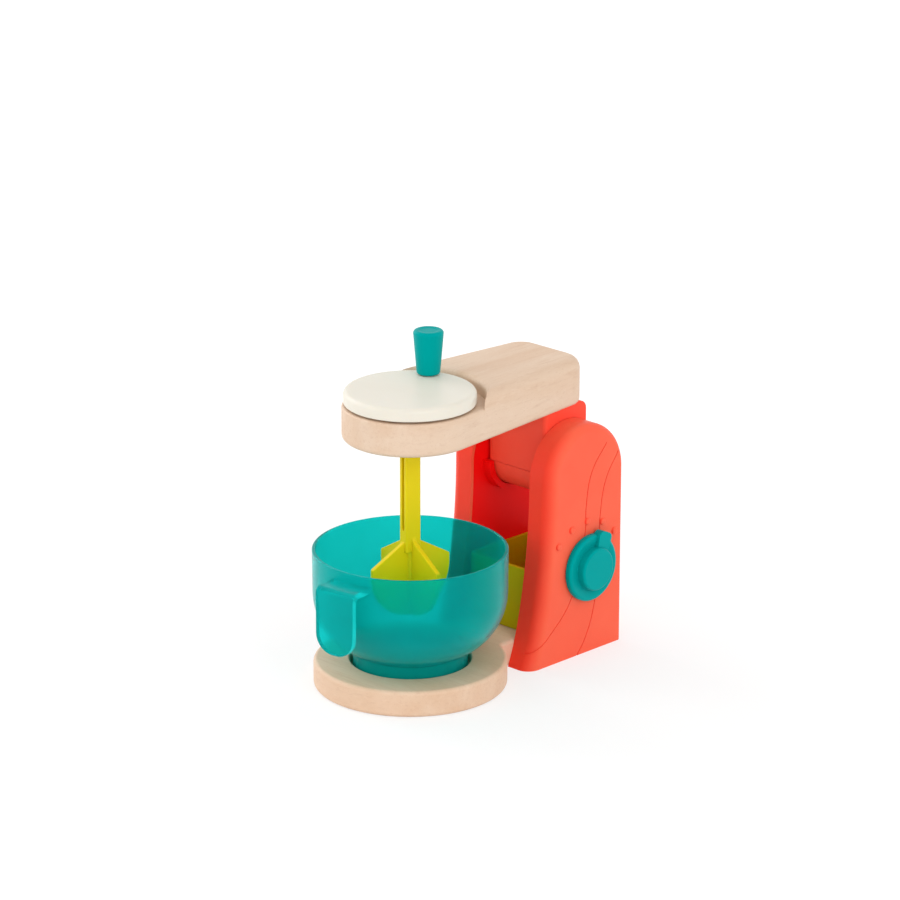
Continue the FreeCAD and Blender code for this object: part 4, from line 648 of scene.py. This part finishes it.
def makeHinge():
    y, z, reach, half = tower["pivotY"], tower["pivotZ"], hinge["barrel"], hinge["half"]
    ledge = hinge["seam"] / 2
    block = slab(rounded([(y - reach, z + ledge), (y + reach, z + ledge),
                          (y + reach, arm["low"], hinge["rearTop"]), (y - reach, arm["low"])]), -half, half)
    ahead = y - reach + 0.01
    behind = y + reach - 0.01
    soften(block, hinge["frontCorner"], lambda edge: along(1)(edge) and edge.verts[0].co.x < ahead)
    soften(block, hinge["backCorner"], lambda edge: along(1)(edge) and edge.verts[0].co.x > behind)
    upper = combine(rough(block, "block", sideways), "DIFFERENCE", boreTool())
    finished(upper, "hinge_block", "head", shadedHingeCoral, "tilt_block")

    chord = math.sqrt(reach ** 2 - ledge ** 2)
    rest = math.degrees(math.asin(ledge / reach))
    cap = slab(((y - chord, z - ledge), [(y, z, 180 - 2 * rest, 72)]), -half, half,
               hinge["capEdge"], hinge["capEdge"])
    lower = combine(rough(cap, "cap", sideways), "DIFFERENCE", boreTool())
    finished(lower, "hinge_lower_cap", "head", shadedHingeCoral, "hinge_cap")


makeHinge()
print("hinge made")


# wooden head arm

def makeArm():
    front, taper, back, corner = arm["front"], math.radians(arm["taper"]), arm["back"], arm["corner"]
    touchX, touchY = front * math.cos(taper), front * math.sin(taper)
    backX = touchX - (back - touchY) * math.tan(taper)
    run = corner * (1 - math.sin(taper)) / math.cos(taper)
    turn = 90 - arm["taper"]
    plan = ((-touchX, touchY), [
        (0, 0, 180 + 2 * arm["taper"], 150),
        (backX + run * math.sin(taper), back - run * math.cos(taper)),
        (backX - run, back - corner, turn, 20),
        (run - backX, back),
        (run - backX, back - corner, turn, 20)])
    body = rough(slab(plan, arm["low"], arm["high"], arm["topRound"], arm["lowRound"]), "arm")
    # the scoop is cut down to a floor with a rounded rim, from just above the arm's top
    scoop, lip, high = arm["scoop"], arm["lip"], arm["high"] + 0.01
    level, rim = arm["step"] - arm["stepRound"], scoop + lip + past
    scoopTool = rough(turned(rounded([(0, level), (scoop, level), (scoop, high, lip), (rim, high),
                                      (rim, high + past), (0, high + past)]), 180), "scoop")
    combine(scoopTool, "DIFFERENCE", rough(slab(plan, arm["low"], arm["step"], arm["stepRound"]), "step"))
    combine(body, "DIFFERENCE", scoopTool)
    recess, deep, bore, low, top = arm["recess"], arm["recessDepth"], arm["bore"], arm["low"], arm["step"]
    drill = turned(rounded([(0, low - past), (recess, low - past), (recess, low + deep), (bore, low + deep),
                            (bore, top - deep), (recess, top - deep), (recess, top + past),
                            (0, top + past)]), 96)
    combine(body, "DIFFERENCE", rough(drill, "drill"))
    finished(body, "wooden_arm", "head", armWood, "head_arm")


makeArm()
print("arm made")


# crank disc and knob

disc = dict(radius=39.3, low=176.0, high=184.0, topRound=3.0, lowRound=1.0, recess=15.1, recessDepth=2.6,
            seatRadius=2.53, seatDepth=7.0)
knob = dict(x=-12.889, y=28.413, low=184.4, high=211.4, lowRadius=7.0, highRadius=9.25, lowRound=1.6,
            highRound=1.9, rim=2.6, rimRound=1.0, slope=2.0, slopeRound=3.0, dish=0.5, bore=2.58,
            boreTop=200.0, chamber=4.0, chamberTop=206.0)


def makeCrank():
    radius, recess, low = disc["radius"], disc["recess"], disc["low"]
    ceiling = low + disc["recessDepth"]
    plate = turned(rounded([(0, ceiling), (recess, ceiling), (recess, low), (radius, low, disc["lowRound"]),
                            (radius, disc["high"], disc["topRound"]), (0, disc["high"])]), 200)
    plate = rough(plate, "disc")
    hole, depth = disc["seatRadius"], disc["seatDepth"]
    seat = turned(rounded([(0, -depth), (hole, -depth), (hole, past), (0, past)]), 32)
    combine(plate, "DIFFERENCE", rough(seat, "seat", None, (knob["x"], knob["y"], disc["high"])))
    finished(plate, "turn_disc", "crank", ivory, "crank_disc")
    high, low, wide, bore = knob["high"], knob["low"], knob["highRadius"], knob["bore"]
    chamber, dish = knob["chamber"], wide - knob["rim"] - knob["slope"]
    grip = turned(rounded([
        (0, knob["chamberTop"]), (chamber, knob["chamberTop"]), (chamber, knob["boreTop"]),
        (bore, knob["boreTop"]), (bore, low), (knob["lowRadius"], low, knob["lowRound"]),
        (wide, high, knob["highRound"]), (wide - knob["rim"], high, knob["rimRound"]),
        (dish, high - knob["dish"], knob["slopeRound"]), (0, high - knob["dish"])]), 96)
    grip = rough(grip, "knob", None, (knob["x"], knob["y"], 0))
    finished(grip, "grip_knob", "knob", teal, "crank_knob")


makeCrank()
print("crank made")


# beater

beater = dict(angle=-9.1, radius=28.0, centre=72.0, shoulder=77.0, shoulderRound=1.6, slope=29.5,
              inset=0.05, apart=0.01, flare=5.0, thickness=3.0, edge=0.5, core=3.4, coreLow=52.0,
              coreRound=1.0, shaftLow=84.0, high=152.8, wide=5.3, deep=3.6, shaftCorner=0.9,
              shaftEdge=0.4, groove=1.3, grooveDepth=3.0, grooveEnd=97.0, tenon=3.5, tenonHigh=167.9)


def makeBeater():
    radius, low, flare = beater["radius"], beater["centre"] - beater["radius"], beater["flare"]
    half, shoulder, soft = beater["thickness"] / 2, beater["shoulder"], beater["shoulderRound"]
    deep, wide, corner = beater["deep"], beater["wide"], beater["shaftCorner"]
    neck = deep - beater["inset"]
    peak = shoulder + (radius - neck) * math.tan(math.radians(beater["slope"]))
    top = peak + flare
    outline = rounded([(-radius, low, radius), (radius, low, radius), (radius, shoulder, soft),
                       (neck, peak, flare), (neck, top), (-neck, top), (-neck, peak, flare),
                       (-radius, shoulder, soft)])
    blades = [rough(slab(outline, -half, half, beater["edge"], beater["edge"]), "blade",
                    Matrix.Rotation(turn, 4, "Z") @ upright, (0, 0, lift))
              for turn, lift in ((0, 0), (math.pi / 2, beater["apart"]))]
    core = turned(rounded([(0, beater["coreLow"]), (beater["core"], beater["coreLow"], beater["coreRound"]),
                           (beater["core"], peak), (0, peak)]), 64)
    shaft = rough(slab(rounded([(-deep, -wide, corner), (deep, -wide, corner), (deep, wide, corner),
                                (-deep, wide, corner)]), beater["shaftLow"], beater["high"],
                       beater["shaftEdge"]), "shaft")
    cut, low, above = beater["groove"], beater["grooveEnd"], beater["high"] + past
    sunk = beater["grooveDepth"]
    channel = rounded([(-cut, low, cut), (cut, low, cut), (cut, above), (-cut, above)])
    for end in (sunk - wide, wide + past):
        tool = rough(slab(channel, 0, sunk + past), "channel", upright, (0, end, 0))
        combine(shaft, "DIFFERENCE", tool)
    side = beater["tenon"]
    tenon = slab(rounded([(-side, -side), (side, -side), (side, side), (-side, side)]), beater["high"] - past,
                 beater["tenonHigh"])
    whole = combine(blades[0], "UNION", blades[1], rough(core, "core"), shaft, rough(tenon, "tenon"))
    whole.data.transform(Matrix.Rotation(math.radians(beater["angle"]), 4, "Z"))
    finished(whole, "mixing_beater", "crank", lime, "beater")


makeBeater()
print("beater made")


# bowl

bowl = dict(rim=58.4, waist=58.2, high=85.6, turn=59.3, curve=40.5, wall=2.0, rimRound=0.9, foot=34.4,
            footLow=9.3, footRound=0.6, handleAngle=8.16, handleRoot=56.5, reach=74.5, width=27.0,
            thickness=4.0, handleHigh=80.0, handleLow=39.7, bend=4.0, innerBend=1.6, corner=12.0,
            handleEdge=0.6)


def makeBowl():
    curve, wall, turn, rim, high = bowl["curve"], bowl["wall"], bowl["turn"], bowl["rim"], bowl["high"]
    axis, low, edge = bowl["waist"] - curve, turn - curve, bowl["rimRound"]
    foot, seat, soft = bowl["foot"], bowl["footLow"], bowl["footRound"]
    inner = math.degrees(math.asin((foot - wall - axis) / curve))
    outer = math.degrees(math.asin((foot - axis) / curve))
    outerZ = turn - curve * math.cos(math.radians(outer))
    shape = turned(((0, low), [
        (axis, low), (axis, turn, inner, 10),
        (foot - wall, seat + soft), (foot - wall + soft, seat + soft, 90, 4),
        (foot - soft, seat), (foot - soft, seat + soft, 90, 4),
        (foot, outerZ), (axis, turn, 90 - outer, 40),
        (rim, high - edge), (rim - edge, high - edge, 90, 6),
        (rim - wall + edge, high), (rim - wall + edge, high - edge, 90, 6),
        (bowl["waist"] - wall, turn), (axis, turn, -90, 48), (0, low + wall)]), 256)
    body = rough(shape, "bowl")
    out, thick, bend, inside = bowl["reach"], bowl["thickness"], bowl["bend"], bowl["innerBend"]
    top, end, root, half = bowl["handleHigh"], bowl["handleLow"], bowl["handleRoot"], bowl["width"] / 2
    handle = slab(rounded([(-root, top), (-out, top, bend), (-out, end), (thick - out, end),
                           (thick - out, top - thick, inside), (-root, top - thick)]), -half, half)
    soften(handle, bowl["corner"], lambda edge: along(0)(edge) and atLow(edge, end), 12)
    soften(handle, bowl["handleEdge"], lambda edge: bent(edge) and edge.verts[0].co.x < -root - 0.1, 4)
    combine(body, "UNION", rough(handle, "handle", sideways))
    body.data.transform(Matrix.Rotation(math.radians(bowl["handleAngle"]), 4, "Z"))
    finished(body, "mixing_bowl", "loose_bowl", clearTeal, "bowl")


def atLow(edge, height):
    return all(abs(vert.co.y - height) < 0.01 for vert in edge.verts)


makeBowl()
print("bowl made")


# pieces that the frame shows as they are

shown = {
    # the covers take the shaded copy of the coral: painted shade
    shadedCoverCoral: ("right_tower_cover", "left_tower_cover"),
    white: ("hinge_washers", "upper_bush", "lower_bush", "thrust_washer", "dial_washer", "click_wheel"),
    axleSteel: ("hinge_axle", "stop_pin", "crank_spindle", "knob_pin"),
    screwSteel: ("tower_screws", "neck_screws", "box_screws", "head_screws", "cap_screws", "dial_screw",
                 "spindle_screws", "beater_screw"),
    springSteel: ("axle_clips", "click_spring"),
}
for material, names in shown.items():
    for name in names:
        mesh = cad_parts[name].data
        mesh.materials.clear()
        mesh.materials.append(material)
print("frame pieces dressed")


# floor, light and camera

studio = dict(floorSize=8.0, floorTone=0.92, floorLit=0.40, shadeGlowNear=0.615, glowFar=0.75, near=0.2, far=1.0,
              ambientLow=0.88, ambientHigh=0.84, ambientTop=0.7)
lamps = {
    "right": dict(place=(2.65, -0.70, 1.30), size=1.8, watts=21.0),
    "front": dict(place=(-1.00, -2.50, 1.10), size=1.8, watts=12.5),
    "left": dict(place=(-2.60, -0.30, 1.40), size=1.8, watts=24.0),
}
view = dict(place=(1.6888, -1.6970, 0.9488), yaw=44.30, pitch=18.53, roll=0.09, lens=171.74, sensor=36.0)
target = Vector((0.0, 0.04, 0.09))


def seenDirectly(tree):
    # 1 for rays from the camera, a mirror or through the bowl, else 0
    path = tree.nodes.new("ShaderNodeLightPath")
    total = addNode(tree, "Math", {0: path.outputs["Is Camera Ray"], 1: path.outputs["Is Glossy Ray"]},
                    operation="ADD").outputs[0]
    return addNode(tree, "Math", {0: total, 1: path.outputs["Is Transmission Ray"]}, operation="ADD",
                   use_clamp=True).outputs[0]


def makeWorld():
    world = bpy.data.worlds.new("studio")
    bpy.context.scene.world = world
    world.use_nodes = True
    tree = world.node_tree
    plain = tree.nodes["Background"]
    sky = tree.nodes.new("ShaderNodeTexCoord").outputs["Generated"]
    height = addNode(tree, "SeparateXYZ", {0: sky}).outputs["Z"]
    strength = ranged(tree, height, 0.0, studio["ambientTop"], studio["ambientLow"], studio["ambientHigh"])
    tree.links.new(strength, plain.inputs["Strength"])
    plain.inputs["Color"].default_value = (1, 1, 1, 1)
    bright = addNode(tree, "Background", {"Color": (1, 1, 1, 1), "Strength": 1.0})
    mixed = addNode(tree, "MixShader", {0: seenDirectly(tree), 1: plain.outputs[0], 2: bright.outputs[0]})
    tree.links.new(mixed.outputs[0], tree.nodes["World Output"].inputs["Surface"])


def makeFloor():
    bm = bmesh.new()
    bmesh.ops.create_grid(bm, x_segments=1, y_segments=1, size=studio["floorSize"] / 2 / mm)
    floor = rough(bm, "floor")
    floor.data.transform(Matrix.Scale(mm, 4))
    material = bpy.data.materials.new("floorWhite")
    material.use_nodes = True
    tree = material.node_tree
    tone, lit = studio["floorTone"], studio["floorLit"]
    plain = addNode(tree, "BsdfDiffuse", {"Color": (tone, tone, tone, 1)})
    shaded = addNode(tree, "BsdfDiffuse", {"Color": (lit, lit, lit, 1)})
    where = tree.nodes.new("ShaderNodeTexCoord").outputs["Object"]
    away = addNode(tree, "VectorMath", {0: where}, operation="LENGTH").outputs["Value"]
    # the glow is dimmer near the object than far from it: painted shade round the object, on top of its real
    # shadow
    glow = addNode(tree, "Emission", {"Color": (1, 1, 1, 1), "Strength": ranged(
        tree, away, studio["near"], studio["far"], studio["shadeGlowNear"], studio["glowFar"])})
    seen = addNode(tree, "AddShader", {0: shaded.outputs[0], 1: glow.outputs[0]})
    mixed = addNode(tree, "MixShader", {0: seenDirectly(tree), 1: plain.outputs[0], 2: seen.outputs[0]})
    tree.links.new(mixed.outputs[0], tree.nodes["Material Output"].inputs["Surface"])
    floor.data.materials.append(material)


def makeLamps():
    for name, lamp in lamps.items():
        light = bpy.data.lights.new(name, "AREA")
        light.shape = "DISK"
        light.size, light.energy = lamp["size"], lamp["watts"]
        obj = bpy.data.objects.new(name, light)
        obj.location = lamp["place"]
        obj.rotation_euler = (target - obj.location).to_track_quat("-Z", "Y").to_euler()
        bpy.context.scene.collection.objects.link(obj)


def makeCamera():
    data = bpy.data.cameras.new("camera")
    data.lens, data.sensor_width = view["lens"], view["sensor"]
    data.clip_start, data.clip_end = 0.1, 50
    obj = bpy.data.objects.new("camera", data)
    bpy.context.scene.collection.objects.link(obj)
    yaw, pitch, roll = (math.radians(view[key]) for key in ("yaw", "pitch", "roll"))
    tilt = Matrix.Rotation(math.pi / 2 - pitch, 4, "X")
    turn = Matrix.Rotation(yaw, 4, "Z") @ tilt @ Matrix.Rotation(roll, 4, "Z")
    obj.matrix_world = Matrix.Translation(view["place"]) @ turn
    bpy.context.scene.camera = obj
    bpy.context.scene.view_settings.view_transform = "Standard"


makeWorld()
makeFloor()
makeLamps()
makeCamera()
print("studio made")
